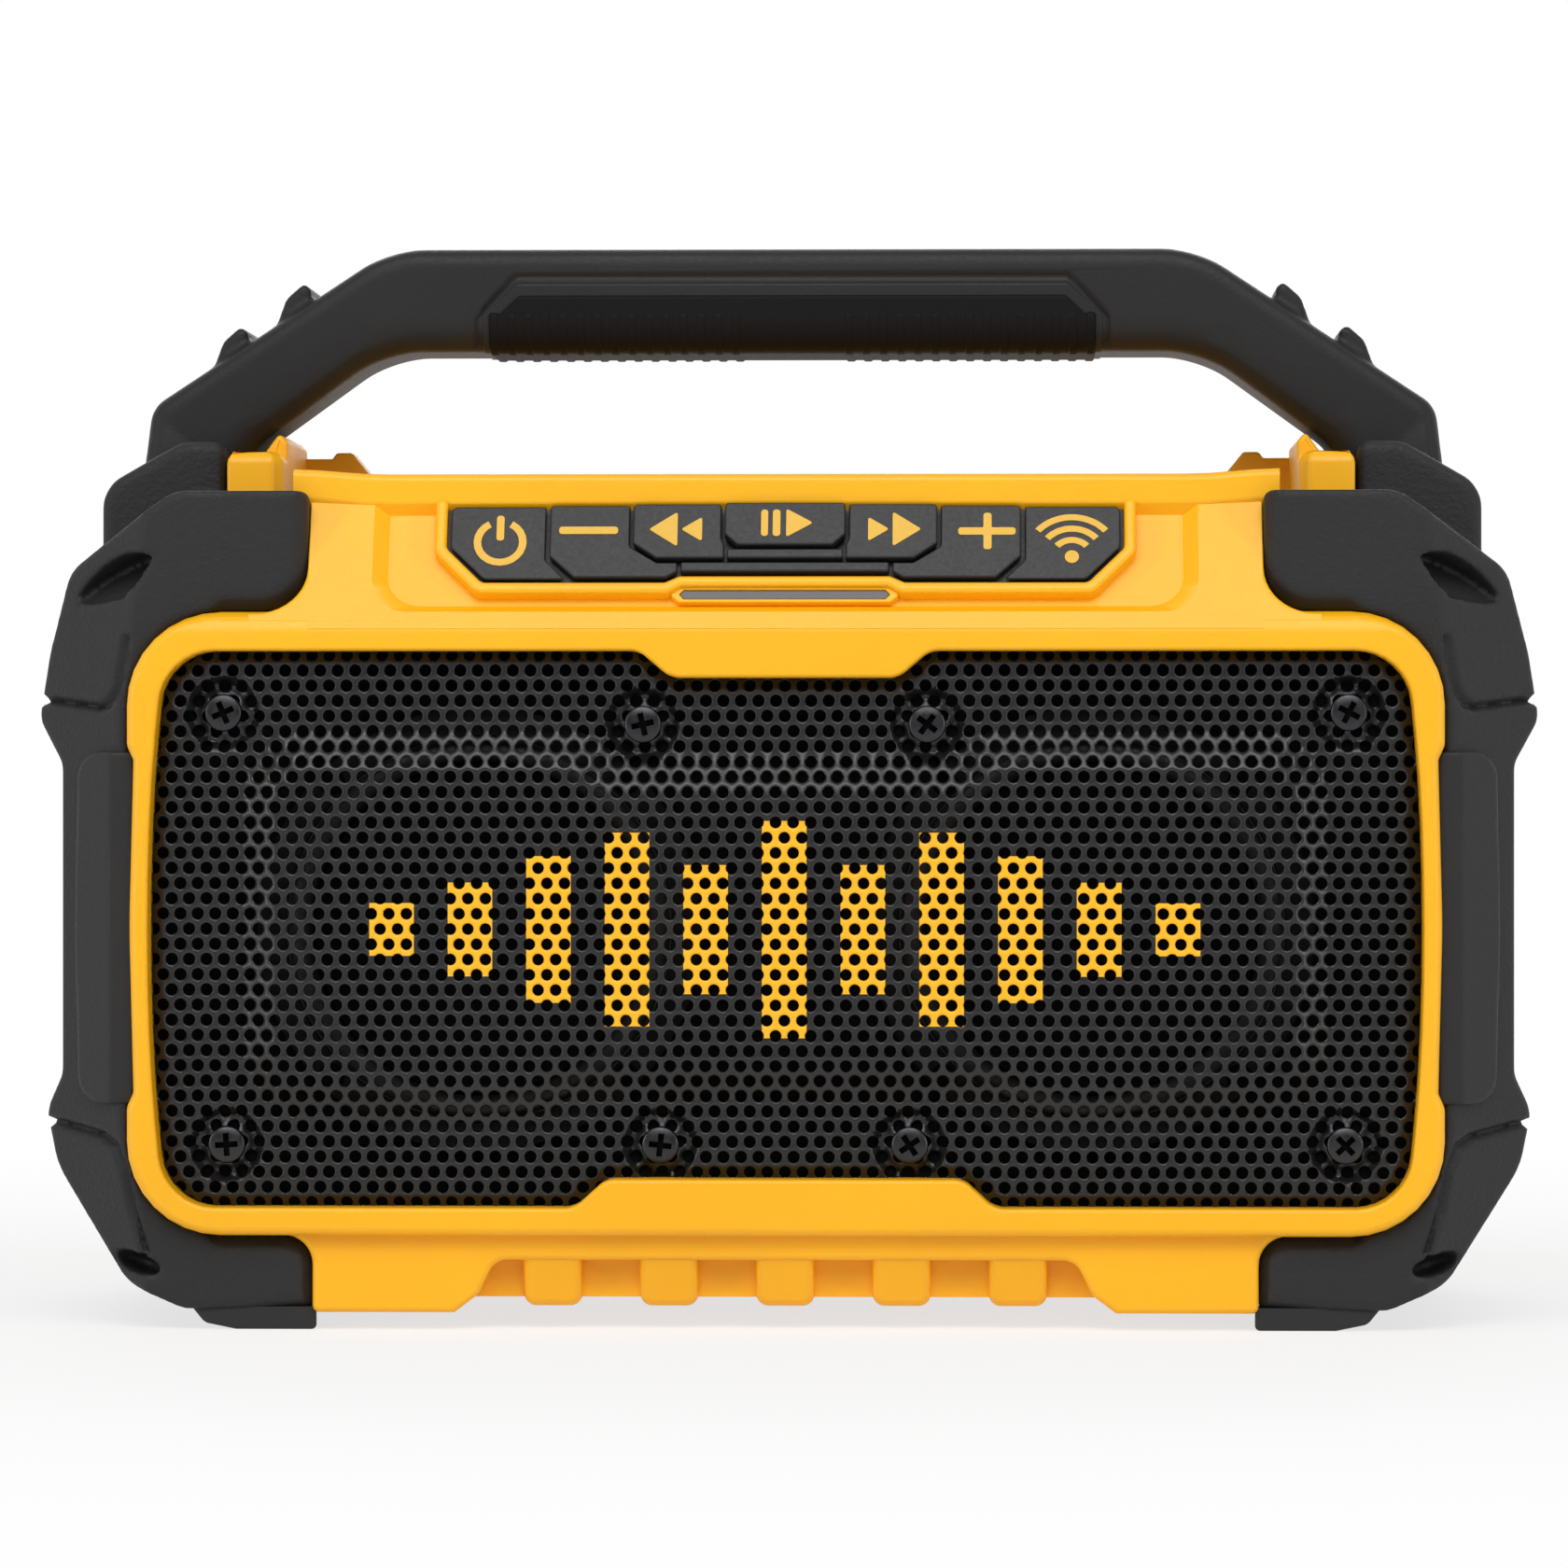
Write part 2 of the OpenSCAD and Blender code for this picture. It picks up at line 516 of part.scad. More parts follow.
module key_cavity() {
    fascia_extrude(-1.2, 2) polygon(inset(panel_pts, -seat));
    fascia_extrude(-fascia_t - 1, 2) polygon(rounded(keys_pts));
    fascia_extrude(-board_top - 8, -fascia_t) difference() {
        translate([-board_w / 2 - 2, board_v0 - 1]) square([board_w + 4, board_v1 + 1 - board_v0 + 1]);
        for (s = [-1, 1], v = post_v) translate([s * post_x, v]) circle(r = post_r);
    }
    fascia_extrude(-board_top - 8, -board_top) translate([-board_w / 2 - 2, board_v0 - 1])
        square([board_w + 4, board_v1 + 2 - board_v0]);
    fascia_extrude(-board_top - 1, -fascia_t) for (s = [-1, 1], v = post_v)
        translate([s * post_x, v]) circle(r = key_screw_r + 0.03);
    fascia_extrude(-fascia_t - 1, 2) polygon(inset(lens_pts, -seat));
}
module key_power() color(grey) key_cap(-power_edge, -volume_edge, 0.8, volume_v0);
module key_volume_down() color(grey) key_cap(-volume_edge, -track_edge, 1.4, volume_v0);
module key_previous() color(grey) key_cap(-track_edge, -play_half, 2, track_v0);
module key_play() color(grey) key_cap(-play_half, play_half, 2.6, play_v0);
module key_next() color(grey) key_cap(play_half, track_edge, 2, track_v0);
module key_volume_up() color(grey) key_cap(track_edge, volume_edge, 1.4, volume_v0);
module key_pairing() color(grey) key_cap(volume_edge, power_edge, 0.8, volume_v0);
key_mid = [(power_edge + volume_edge) / 2, (volume_edge + track_edge) / 2, (track_edge + play_half) / 2];
module key_board() color(green) fascia_extrude(-board_top - board_t, -board_top - seat) difference() {
    translate([-board_w / 2, board_v0]) square([board_w, board_v1 - board_v0]);
    for (s = [-1, 1], v = post_v) translate([s * post_x, v]) circle(r = key_screw_r + 0.2);
}
module dome_switches() color(steel) for (x = concat([0], key_mid, -key_mid)) on_fascia()
    translate([x, stem_v, -board_top]) cylinder(h = 0.5, r1 = 2.6, r2 = 1.8);
module key_board_screws() color(steel) for (s = [-1, 1], v = post_v) on_fascia()
    translate([s * post_x, v, -board_top - board_t - seat]) {
        cylinder(h = board_t + 4.4, r = key_screw_r);
        translate([0, 0, -1.2]) cylinder(h = 1.2, r1 = 1.5, r2 = 2);
    }
lens_v = [panel_v0 - 2.9, panel_v0 - 1.1];
lens_pts = mirrored([[lens_half - 1, lens_v[1], 0.3], [lens_half, (lens_v[0] + lens_v[1]) / 2, 0.3],
    [lens_half - 1, lens_v[0], 0.3]]);
module status_lens() color([0.48, 0.45, 0.43, 0.8]) {
    fascia_extrude(-fascia_t - seat - 1, 0.2) polygon(rounded(lens_pts));
    fascia_extrude(-fascia_t - seat - 1, -fascia_t - seat) polygon(inset(lens_pts, -0.8));
}
module status_lights() color("white") for (x = [-12, 0, 12]) fascia_extrude(-board_top, -board_top + 0.9)
    translate([x - 1, (lens_v[0] + lens_v[1]) / 2 - 0.6]) square([2, 1.2]);

// Bumpers, drawn for the right front corner
front_face = shell_d / 2 + plate_t;
strip_x = bumper_x - 4.5;
strip_z = [43.4, 96.8];
bumper_pts = rounded([[plate_x + seat, plate_top, 1.5], [bumper_x - 25, plate_top, 6], [bumper_x - 5.6, plate_top - 13.4, 6],
    [bumper_x - 1.8, plate_top - 27.7, 8], [bumper_x, plate_top - 39, 4], [strip_x, strip_z[1], 3], [strip_x, strip_z[0], 3],
    [bumper_x - 1.4, foot_h + 33.6, 5], [bumper_x - 3.3, foot_h + 24.1, 12], [bumper_x - 16.5, foot_h + 4.5, 8],
    [bumper_x - 26.5, foot_h + seat, 4], [plate_x - 0.7, foot_h + seat, 1.5],
    [plate_x - 0.7, 60, 0], [plate_x + seat, 60, 0]]);
arch_pts = rounded([[lug_x1 + 0.6, arch_top, 1.5], [bumper_x - 22.5, arch_top, 6], [shell_w / 2, arch_top - 8, 6],
    [shell_w / 2, arch_top - 27.5, 0], [lug_x1 + 0.6, arch_top - 27.5, 0]]);
corner_r = 15;
plate_r = 8;
foot_r = 5;
groove_z = [36, 108];
groove_w = 0.9;
groove_d = 1.6;
scoop_z = [123.4, 131.8];
scoop_d = 5;
scoop_l = 9;
scoop_at = [bumper_x - 6.5, 6.5];
arch_y0 = 26;
arch_t = 4.5;
arch_wall = leg_x + base_t / 2 + 0.7;
panel_half = 38;
panel_z = [strip_z[0] + 2.6, strip_z[1] - 2.8];
pad_x = bezel_w / 2 + 2 * seat;
pad_z = [strip_z[0] - 4.7, strip_z[1] + 2.4];
pad_pts = [[pad_x, pad_z[1], 3], [strip_x - 3.4, pad_z[1] - 1.7, 3], [strip_x - 3, (pad_z[0] + pad_z[1]) / 2, 80],
    [strip_x - 3.6, pad_z[0] + 1.3, 3], [pad_x, pad_z[0], 3]];
module envelope(face, d) linear_extrude(big) polygon(rounded([[-big, -face + d, 0], [bumper_x - d, -face + d, corner_r],
    [bumper_x - d, 0, 0], [-big, 0, 0]]));
module fillet_cut(face, x, z, r, down) front_extrude(-face - 1, -shell_d / 2) difference() {
    translate([x - 2, down ? z - r : z - 1]) square([r + 2, r + 1]);
    translate([x + r, down ? z - r : z + r]) circle(r = r);
}
module groove(face, z) translate([0, 0, z - groove_w / 2]) difference() {
    translate([bezel_w / 2 + 1.5, -big, 0]) cube([big, big, groove_w]);
    translate([0, 0, -1]) envelope(face, groove_d);
}
module scoop(face) translate([scoop_at[0], -face + scoop_at[1], 0]) rotate([0, 0, 45]) rotate([90, 0, 90])
    translate([0, 0, -scoop_l]) linear_extrude(2 * scoop_l) polygon([[scoop_d, scoop_z[1]], [-20, scoop_z[1] + 2],
        [-20, scoop_z[0] - 2], [0, scoop_z[0]]]);
module bumper(face) color(rubber) difference() {
    union() {
        intersection() {
            front_extrude(-face, -part_gap) polygon(bumper_pts);
            translate([0, 0, -1]) envelope(face, 0);
            side_extrude(0, big) polygon(rounded([[-face, -1, 0], [-face, plate_top, 4], [0, plate_top, 0], [0, -1, 0]]));
        }
        front_extrude(-arch_y0, -arch_y0 + arch_t) polygon(arch_pts);
        intersection() {
            front_extrude(-arch_y0, -part_gap) polygon(arch_pts);
            block(arch_wall, big, -arch_y0, 0, 0, big);
        }
    }
    front_extrude(-shell_d / 2 - seat, 1) polygon(inset(shell_pts, -seat));
    front_extrude(-face - 1, -shell_d / 2 + 1) polygon(inset(bezel_pts, -seat));
    block(strip_x - 5.2, big, -panel_half - seat, 1, panel_z[0] - seat, panel_z[1] + seat);
    block(plate_x - 2, arch_wall - 0.2, -arch_y0 + arch_t, 1, shoulder_z, big);
    block(plate_x - 2, lug_x1 + 0.4, -lug_y - 0.4, 1, shoulder_z, big);
    front_extrude(-face - 1, -face + 2.4) polygon(inset(pad_pts, -seat));
    fillet_cut(face, plate_x + seat, bezel_top + seat, plate_r, false);
    fillet_cut(face, plate_x - 0.7, bezel_bottom - seat, foot_r, true);
    for (z = groove_z) groove(face, z);
    scoop(face);
}
module front_bumper_right() bumper(front_face);
module front_bumper_left() mirror([1, 0, 0]) bumper(front_face);
module rear_bumper_right() mirror([0, 1, 0]) bumper(rear_y);
module rear_bumper_left() mirror([1, 0, 0]) mirror([0, 1, 0]) bumper(rear_y);
module side_pad() color(black) {
    front_extrude(-front_face - 0.6, -front_face + 2.4 - seat) polygon(rounded(pad_pts));
    mirror([0, 1, 0]) front_extrude(-rear_y + 0.6, -rear_y + 2.4 - seat) polygon(rounded(pad_pts));
}
module side_pad_right() side_pad();
module side_pad_left() mirror([1, 0, 0]) side_pad();
module side_panel() color(black) intersection() {
    block(shell_w / 2 + seat, strip_x + 0.4, -panel_half, panel_half, panel_z[0], panel_z[1]);
    translate([strip_x + 0.4 - big, 0, (panel_z[0] + panel_z[1]) / 2]) rotate([90, 0, 0])
        cylinder(h = 3 * panel_half, r = big, center = true, $fn = 360);
}
module side_panel_right() side_panel();
module side_panel_left() mirror([1, 0, 0]) side_panel();
module feet() color(black) both() for (s = [0, 1]) mirror([0, s, 0])
    linear_extrude(foot_h) polygon(rounded([[plate_x + 0.4, -front_face + 7, 2], [bumper_x - 28.5, -front_face + 13, 6],
        [bumper_x - 28.5, -front_face + 31, 2], [plate_x + 0.4, -front_face + 31, 2]]));

// Handle, a rounded section swept along its centre line
bar_z = handle_top - bar_h / 2;
bend_z = 155.5;
base_d = 36;
path_half = concat([[leg_x, shoulder_z + seat]], corner_arc([leg_x, shoulder_z], [leg_x, bend_z], [bend_x, bar_z], 13),
    corner_arc([leg_x, bend_z], [bend_x, bar_z], [0, bar_z], 20), [[grip_l / 2 + 3, bar_z]]);
path_pts = concat(path_half, [for (i = [len(path_half) - 1 : -1 : 0]) [-path_half[i][0], path_half[i][1]]]);
function path_dir(i) = i == 0 || i == len(path_pts) - 1 ? [0, i == 0 ? 1 : -1]
    : unit(unit(path_pts[i + 1] - path_pts[i]) + unit(path_pts[i] - path_pts[i - 1]));
function blend(a, b, k) = a + (b - a) * min(1, max(0, k));
function section_t(p) = p[1] < bend_z ? blend(base_t, leg_t, (p[1] - shoulder_z) / (bend_z - shoulder_z))
    : blend(leg_t, bar_h, (p[1] - bend_z) / (bar_z - bend_z));
function section_d(p) = blend(base_d, bar_d, (p[1] - shoulder_z) / (bar_z - shoulder_z));
section_r = 5;
function section(t, d) = rounded([[-t / 2, d / 2, section_r], [t / 2, d / 2, section_r],
    [t / 2, -d / 2, section_r], [-t / 2, -d / 2, section_r]]);
handle_rings = [for (i = [0 : len(path_pts) - 1])
    let (p = path_pts[i], f = path_dir(i), s = section(section_t(p), section_d(p)))
    [for (q = s) [p[0] - f[1] * q[0], q[1], p[1] + f[0] * q[0]]]];
module handle_sweep() {
    n = len(handle_rings[0]);
    m = len(handle_rings);
    polyhedron([for (r = handle_rings) each r], concat(
        [for (k = [0 : m - 2], i = [0 : n - 1])
            let (a = k * n + i, b = k * n + (i + 1) % n, c = (k + 1) * n + (i + 1) % n, d = (k + 1) * n + i)
            each [[a, c, b], [a, d, c]]],
        [[for (i = [0 : n - 1]) i], [for (i = [n - 1 : -1 : 0]) (m - 1) * n + i]]));
}
grip_top = handle_top - 6;
rib_pitch = 3.05;
rib_w = 1.1;
rib_d = 0.7;
rib_x = 10;
rib_count = floor((grip_l / 2 - rib_x) / rib_pitch);
grip_low = handle_top - bar_h;
rib_top = grip_low + 8;
module grip_profile(d, z0, z1, r) polygon(rounded([[-d / 2, z1, 0.6], [d / 2, z1, 0.6], [d / 2, z0, r], [-d / 2, z0, r]]));
module cleat(x, z) translate([x, 0, z]) rotate([0, atan2(bar_z - bend_z, leg_x - bend_x), 0])
    front_extrude(-bar_d / 2 + 2, bar_d / 2 - 2) polygon(rounded([[-4, -2, 0], [-4, 2, 1], [2, 2.4, 1.5], [4, -2, 0]]));
leg_mid = [(leg_x + bend_x) / 2, (bend_z + bar_z) / 2];
leg_dir = unit([bend_x - leg_x, bar_z - bend_z]);
leg_out = [leg_dir[1], -leg_dir[0]];
module handle_core() color(black) difference() {
    union() {
        handle_sweep();
        both() for (s = [-7, 6.5]) {
            c = leg_mid + s * leg_dir + (leg_t / 2 + 0.4) * leg_out;
            cleat(c[0], c[1]);
        }
    }
    side_extrude(-grip_l / 2 - seat, grip_l / 2 + seat) difference() {
        translate([-bar_d, grip_low - 5]) square([2 * bar_d, grip_top + seat - grip_low + 5]);
        grip_profile(bar_d - 2 * grip_t, grip_low + grip_t, grip_top + 2, 3);
    }
    handle_screw_places() translate([0, 0, shoulder_z - 1]) cylinder(h = 14, r = handle_screw_r + 0.05);
}
module handle_grip() color(rubber) difference() {
    side_extrude(-grip_l / 2, grip_l / 2) difference() {
        grip_profile(bar_d + 1, grip_low - 0.5, grip_top, 5);
        grip_profile(bar_d - 2 * grip_t + 2 * seat, grip_low + grip_t - seat, grip_top + 4, 3);
    }
    both() for (i = [0 : rib_count - 1]) translate([rib_x + i * rib_pitch, 0, 0])
        side_extrude(-rib_w / 2, rib_w / 2) difference() {
            grip_profile(bar_d + 4, grip_low - 3, rib_top, 5);
            grip_profile(bar_d + 1 - 2 * rib_d, grip_low - 0.5 + rib_d, grip_top, 5);
        }
}
module handle_screws() color(steel) handle_screw_places() translate([0, 0, shoulder_z - wall - 2 * seat]) {
    cylinder(h = 14, r = handle_screw_r);
    translate([0, 0, -2.4]) cylinder(h = 2.4, r1 = 2.6, r2 = 3.8);
}

// Rear housing
bay_y = rear_y - bay_d - 4;
bay_wall = 3;
bay_out = bay_w / 2 + bay_wall;
port_x = (bay_out + case_x) / 2 + 6;
rail_w = 5;
rail_t = 4;
rail_y = bay_y + 9;
port_z = 84;
port_floor = panel_y - 10;
cover_t = 3;
hinge_z = port_z - port_h / 2 + 2.6;
hinge_y = panel_y - 1.8;
barrel_r = 2.1;
tray_wall = 2;
pin_bite = 1.6;
tab_w = 4;
tab_y = [17, 26];
main_y = bay_y - 9;
main_w = 2 * (bay_out + 14);
main_z = [50, 110];
main_post = [[bay_out + 8, main_z[0] + 6], [bay_out + 8, main_z[1] - 6]];
main_screw_r = 1.4;
counterbore_y = 20;
module port_frame(grow) polygon(rounded([[port_x - port_w / 2 - grow, port_z + port_h / 2 + grow, 2],
    [port_x + port_w / 2 + grow, port_z + port_h / 2 + grow, 2], [port_x + port_w / 2 + grow, port_z - port_h / 2 - grow, 2],
    [port_x - port_w / 2 - grow, port_z - port_h / 2 - grow, 2]]));
module bay_notch() block(-bay_out - seat, bay_out + seat, bay_y - bay_wall - seat, big, bay_z - bay_wall - seat, big);
module rear_housing() color(yellow) difference() {
    union() {
        translate([0, part_gap, 0]) shell_tub(0, back_y - part_gap, -1, -1);
        both() mirror([0, 1, 0]) lug();
        both() front_extrude(tab_y[0], tab_y[1]) polygon([[plate_x - seat - tab_w, deck_z - 1],
            [plate_x - seat - tab_w, deck_z + 7.4], [plate_x - 1, deck_z + 11.3], [plate_x - seat, deck_z + 11.3],
            [plate_x - seat, deck_z - 1]]);
    }
    bay_notch();
    handle_screw_places() cylinder(h = shoulder_z + 1, r = handle_screw_r + seat);
}
module back_panel() color(yellow) difference() {
    union() {
        difference() {
            union() {
                front_extrude(back_y - wall, back_y) polygon(inset(shell_pts, wall + seat));
                front_extrude(back_y - wall, panel_y) polygon(rounded(bezel_pts));
            }
            front_extrude(back_y - wall - 1, panel_y - wall) polygon(inset(bezel_pts, wall));
        }
        both() for (p = main_post) rod(p[0], p[1], main_y + board_t + seat, panel_y - 1, 3.2);
        case_screw_places() rod(0, 0, part_gap, panel_y - 1, boss_r + 1.4);
    }
    bay_notch();
    front_extrude(port_floor - 4, big) port_frame(tray_wall + seat);
    both() for (p = main_post) rod(p[0], p[1], main_y, main_y + 12, main_screw_r + 0.05);
    case_screw_places() {
        rod(0, 0, -1, back_y, case_r + 0.2);
        rod(0, 0, counterbore_y, big, boss_r - 0.4);
    }
}
module port_tray() color(yellow) difference() {
    front_extrude(port_floor - tray_wall, panel_y) port_frame(tray_wall);
    front_extrude(port_floor, big) port_frame(0);
    front_extrude(port_floor - tray_wall - 1, port_floor + 1) socket_cuts();
    translate([port_x, hinge_y, hinge_z]) rotate([0, 90, 0])
        cylinder(h = port_w + 2 * pin_bite + 0.2, r = pin_r + 0.03, center = true);
}
module battery_bay() color(black) difference() {
    union() {
        block(-bay_out, bay_out, bay_y - bay_wall, back_y, bay_z - bay_wall, deck_z);
        block(-bay_out, bay_out, back_y - 1, panel_y, bay_z - bay_wall, bezel_top);
    }
    difference() {
        block(-bay_w / 2, bay_w / 2, bay_y, big, bay_z, big);
        both() block(bay_w / 2 - rail_t, bay_w, rail_y, rail_y + rail_w, bay_z + 24, deck_z - 8);
    }
}
module case_screws() color(steel) case_screw_places() translate([0, counterbore_y + seat, 0]) mirror([0, 1, 0])
    pan_screw(case_r, 3.8, 2.6, counterbore_y + 22);
module main_board() color(green) {
    front_extrude(main_y, main_y + board_t) difference() {
        translate([-main_w / 2, main_z[0]]) square([main_w, main_z[1] - main_z[0]]);
        both() for (p = main_post) translate(p) circle(r = main_screw_r + 0.2);
    }
    block(-main_w / 4, main_w / 24, main_y - 9, main_y + 0.2, main_z[0] + 12, main_z[1] - 18);
    for (i = [0 : 2]) rod(main_w * (0.15 + 0.11 * i), main_z[1] - 22, main_y - 14, main_y + 0.2, main_w / 24);
    block(main_w * 0.12, main_w / 3, main_y - 3, main_y + 0.2, main_z[0] + 10, main_z[0] + 22);
}
module main_board_screws() color(steel) both() for (p = main_post) translate([p[0], main_y - seat, p[1]])
    pan_screw(main_screw_r, 2.6, 1.6, 9);
term_z = [bay_z + seat, bay_z + 18];
term_half = bay_w / 2 - 17;
blade_pitch = term_half / 2.9;
module battery_terminals() color(black) difference() {
    union() {
        block(-term_half, term_half, bay_y + seat, bay_y + 8, term_z[0], term_z[1]);
        block(-term_half - 4, term_half + 4, bay_y + seat, bay_y + 2.5, term_z[0], term_z[1] + 16);
    }
    for (i = [-2 : 2]) block(i * blade_pitch - 0.55, i * blade_pitch + 0.55, bay_y + 3.4, bay_y + 7, term_z[0] + 6, term_z[1] + 1);
}
module terminal_blades() color(brass) for (i = [-2 : 2])
    block(i * blade_pitch - 0.4, i * blade_pitch + 0.4, bay_y + 3.6, bay_y + 6.8, term_z[0] + 6.2, term_z[1] + 12);

// Ports behind the cover
usb_at = [port_x - 9, port_z + 3];
aux_at = [port_x + 3, port_z + 3];
dc_at = [port_x + 12, port_z + 3];
module socket_cuts() {
    translate(usb_at) square([13.4, 6.4], center = true);
    translate(aux_at) circle(r = 3.2);
    translate(dc_at) circle(r = 4.2);
}
module port_panel() color(black) front_extrude(port_floor + seat, port_floor + 1.4) difference() {
    port_frame(-seat);
    socket_cuts();
    translate([0, hinge_z - 4]) square([big, 8], center = true);
}
module usb_socket() color(steel) front_extrude(port_floor - 2, port_floor + 1.6) translate(usb_at) {
    difference() {
        square([13.1, 6.1], center = true);
        square([12.3, 5.3], center = true);
    }
    translate([0, 0.9]) square([11, 1.8], center = true);
    translate([0, 2.2]) square([2, 1.2], center = true);
}
module jack(at, r, bore) difference() {
    rod(at[0], at[1], port_floor - 6, port_floor + 2, r);
    rod(at[0], at[1], port_floor - 5, port_floor + 3, bore);
}
module aux_jack() color(black) jack(aux_at, 3, 1.75);
module dc_jack() color(black) {
    jack(dc_at, 4, 2.75);
    rod(dc_at[0], dc_at[1], port_floor - 5.5, port_floor + 1, 1);
}
cover_gap = 0.4;
barrel_l = port_w - 4;
module port_cover() color(rubber) difference() {
    union() {
        front_extrude(panel_y - cover_t, panel_y - 0.2) difference() {
            port_frame(-cover_gap);
            translate([0, hinge_z - big / 2]) square([big, big], center = true);
        }
        translate([port_x, hinge_y, hinge_z]) rotate([0, 90, 0])
            cylinder(h = barrel_l, r = barrel_r, center = true);
        front_extrude(panel_y - 0.4, panel_y + 1) translate([port_x - 6, port_z + port_h / 2 - 4]) square([12, 2]);
    }
    translate([port_x, hinge_y, hinge_z]) rotate([0, 90, 0]) cylinder(h = port_w + 2, r = pin_r + 0.05, center = true);
}
module port_cover_pin() color(steel) translate([port_x, hinge_y, hinge_z]) rotate([0, 90, 0])
    cylinder(h = port_w + 2 * pin_bite, r = pin_r, center = true);

module driver_frame_right() driver_places(1) driver_frame();
module driver_frame_left() driver_places(-1) driver_frame();
module driver_magnet_right() driver_places(1) driver_magnet();
module driver_magnet_left() driver_places(-1) driver_magnet();
module driver_surround_right() driver_places(1) driver_surround();
module driver_surround_left() driver_places(-1) driver_surround();
module driver_cone_right() driver_places(1) driver_cone();
module driver_cone_left() driver_places(-1) driver_cone();

front_housing();
rear_housing();
back_panel();
battery_bay();
port_tray();
housing_seal();
speaker_grille();
grille_screws();
driver_frame_left();
driver_frame_right();
driver_magnet_left();
driver_magnet_right();
driver_surround_left();
driver_surround_right();
driver_cone_left();
driver_cone_right();
driver_screws();
keypad_trim();
key_power();
key_volume_down();
key_previous();
key_play();
key_next();
key_volume_up();
key_pairing();
key_board();
dome_switches();
key_board_screws();
status_lens();
status_lights();
front_bumper_left();
front_bumper_right();
rear_bumper_left();
rear_bumper_right();
side_pad_left();
side_pad_right();
side_panel_left();
side_panel_right();
feet();
handle_core();
handle_grip();
handle_screws();
main_board();
main_board_screws();
battery_terminals();
terminal_blades();
port_panel();
usb_socket();
aux_jack();
dc_jack();
port_cover();
port_cover_pin();
case_screws();
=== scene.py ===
import bpy
import bmesh
import json
import math
import numpy
from mathutils import Matrix, Vector


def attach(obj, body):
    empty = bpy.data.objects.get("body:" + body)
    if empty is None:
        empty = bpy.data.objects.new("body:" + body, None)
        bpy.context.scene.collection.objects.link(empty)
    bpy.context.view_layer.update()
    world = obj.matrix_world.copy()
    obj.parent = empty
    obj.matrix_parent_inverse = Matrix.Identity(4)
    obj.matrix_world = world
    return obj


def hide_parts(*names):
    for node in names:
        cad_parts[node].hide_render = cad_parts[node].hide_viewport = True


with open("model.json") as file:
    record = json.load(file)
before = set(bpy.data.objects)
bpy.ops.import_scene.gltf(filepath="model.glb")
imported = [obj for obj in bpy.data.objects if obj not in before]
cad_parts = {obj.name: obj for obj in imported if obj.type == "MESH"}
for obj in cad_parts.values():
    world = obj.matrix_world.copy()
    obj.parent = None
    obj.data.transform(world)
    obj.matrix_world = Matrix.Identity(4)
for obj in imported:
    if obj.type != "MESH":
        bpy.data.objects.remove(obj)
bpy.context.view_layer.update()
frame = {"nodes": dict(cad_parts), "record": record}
nodes = frame["nodes"]
mm = 0.001
same = 1e-3  # millimetres within which two levels count as one
weld = 1e-4  # millimetres within which two points become one
print("frame loaded:", len(nodes), "nodes")


# one socket of a shader tree, so that its maths reads as plain expressions
class Wire:
    def __init__(self, tree, socket):
        self.tree = tree
        self.socket = socket

    def node(self, kind, settings=None, pick=0, **values):
        made = self.tree.nodes.new("ShaderNode" + kind)
        for key, value in (settings or {}).items():
            setattr(made, key, value)
        for key, value in values.items():
            index = int(key[1:]) if key[0] == "i" and key[1:].isdigit() else key.replace("_", " ")
            target = made.inputs[index]
            if isinstance(value, Wire):
                self.tree.links.new(value.socket, target)
            else:
                target.default_value = value
        return Wire(self.tree, made.outputs[pick])

    def maths(self, operation, a, b=0.0):
        return self.node("Math", {"operation": operation}, i0=a, i1=b)

    def __add__(self, other):
        return self.maths("ADD", self, other)

    def __sub__(self, other):
        return self.maths("SUBTRACT", self, other)

    def __mul__(self, other):
        return self.maths("MULTIPLY", self, other)

    def __lt__(self, other):
        return self.maths("LESS_THAN", self, other)

    def noise(self, scale, detail=2.0):
        return self.node("TexNoise", Vector=self, Scale=scale, Detail=detail, Roughness=0.5)

    def spread(self, low, high, toLow, toHigh):
        return self.node("MapRange", i0=self, i1=low, i2=high, i3=toLow, i4=toHigh)

    def tint(self, colorA, colorB):
        return self.node("Mix", {"data_type": "RGBA"}, pick=2, i0=self, i6=colorA, i7=colorB)

    def axis(self, index):
        return self.node("SeparateXYZ", pick=index, i0=self)


def srgb(r, g, b):
    def linear(c):
        c = c / 255
        return c / 12.92 if c <= 0.04045 else ((c + 0.055) / 1.055) ** 2.4
    return (linear(r), linear(g), linear(b), 1.0)


def shade(color, factor):
    return tuple(min(1.0, c * factor) for c in color[:3]) + (1.0,)


def newMaterial(name, build, **constants):
    mat = bpy.data.materials.new(name)
    mat.use_nodes = True
    tree = mat.node_tree
    shader = tree.nodes["Principled BSDF"]
    for key, value in constants.items():
        shader.inputs[key.replace("_", " ")].default_value = value
    coords = tree.nodes.new("ShaderNodeTexCoord").outputs["Object"]
    for key, wire in build(Wire(tree, coords)).items():
        tree.links.new(wire.socket, shader.inputs[key.replace("_", " ")])
    return mat


noiseRange = (0.3, 0.7)  # where most values of a noise lie
mouldedSet = {"cloud": 26.0, "cloudDetail": 3.0, "gloss": 0.05, "bump": 0.0002}
metalSet = {"grain": 900.0, "detail": 3.0, "stain": 60.0, "dark": 0.85, "gloss": 0.08, "bump": 0.0001, "depth": 0.15}


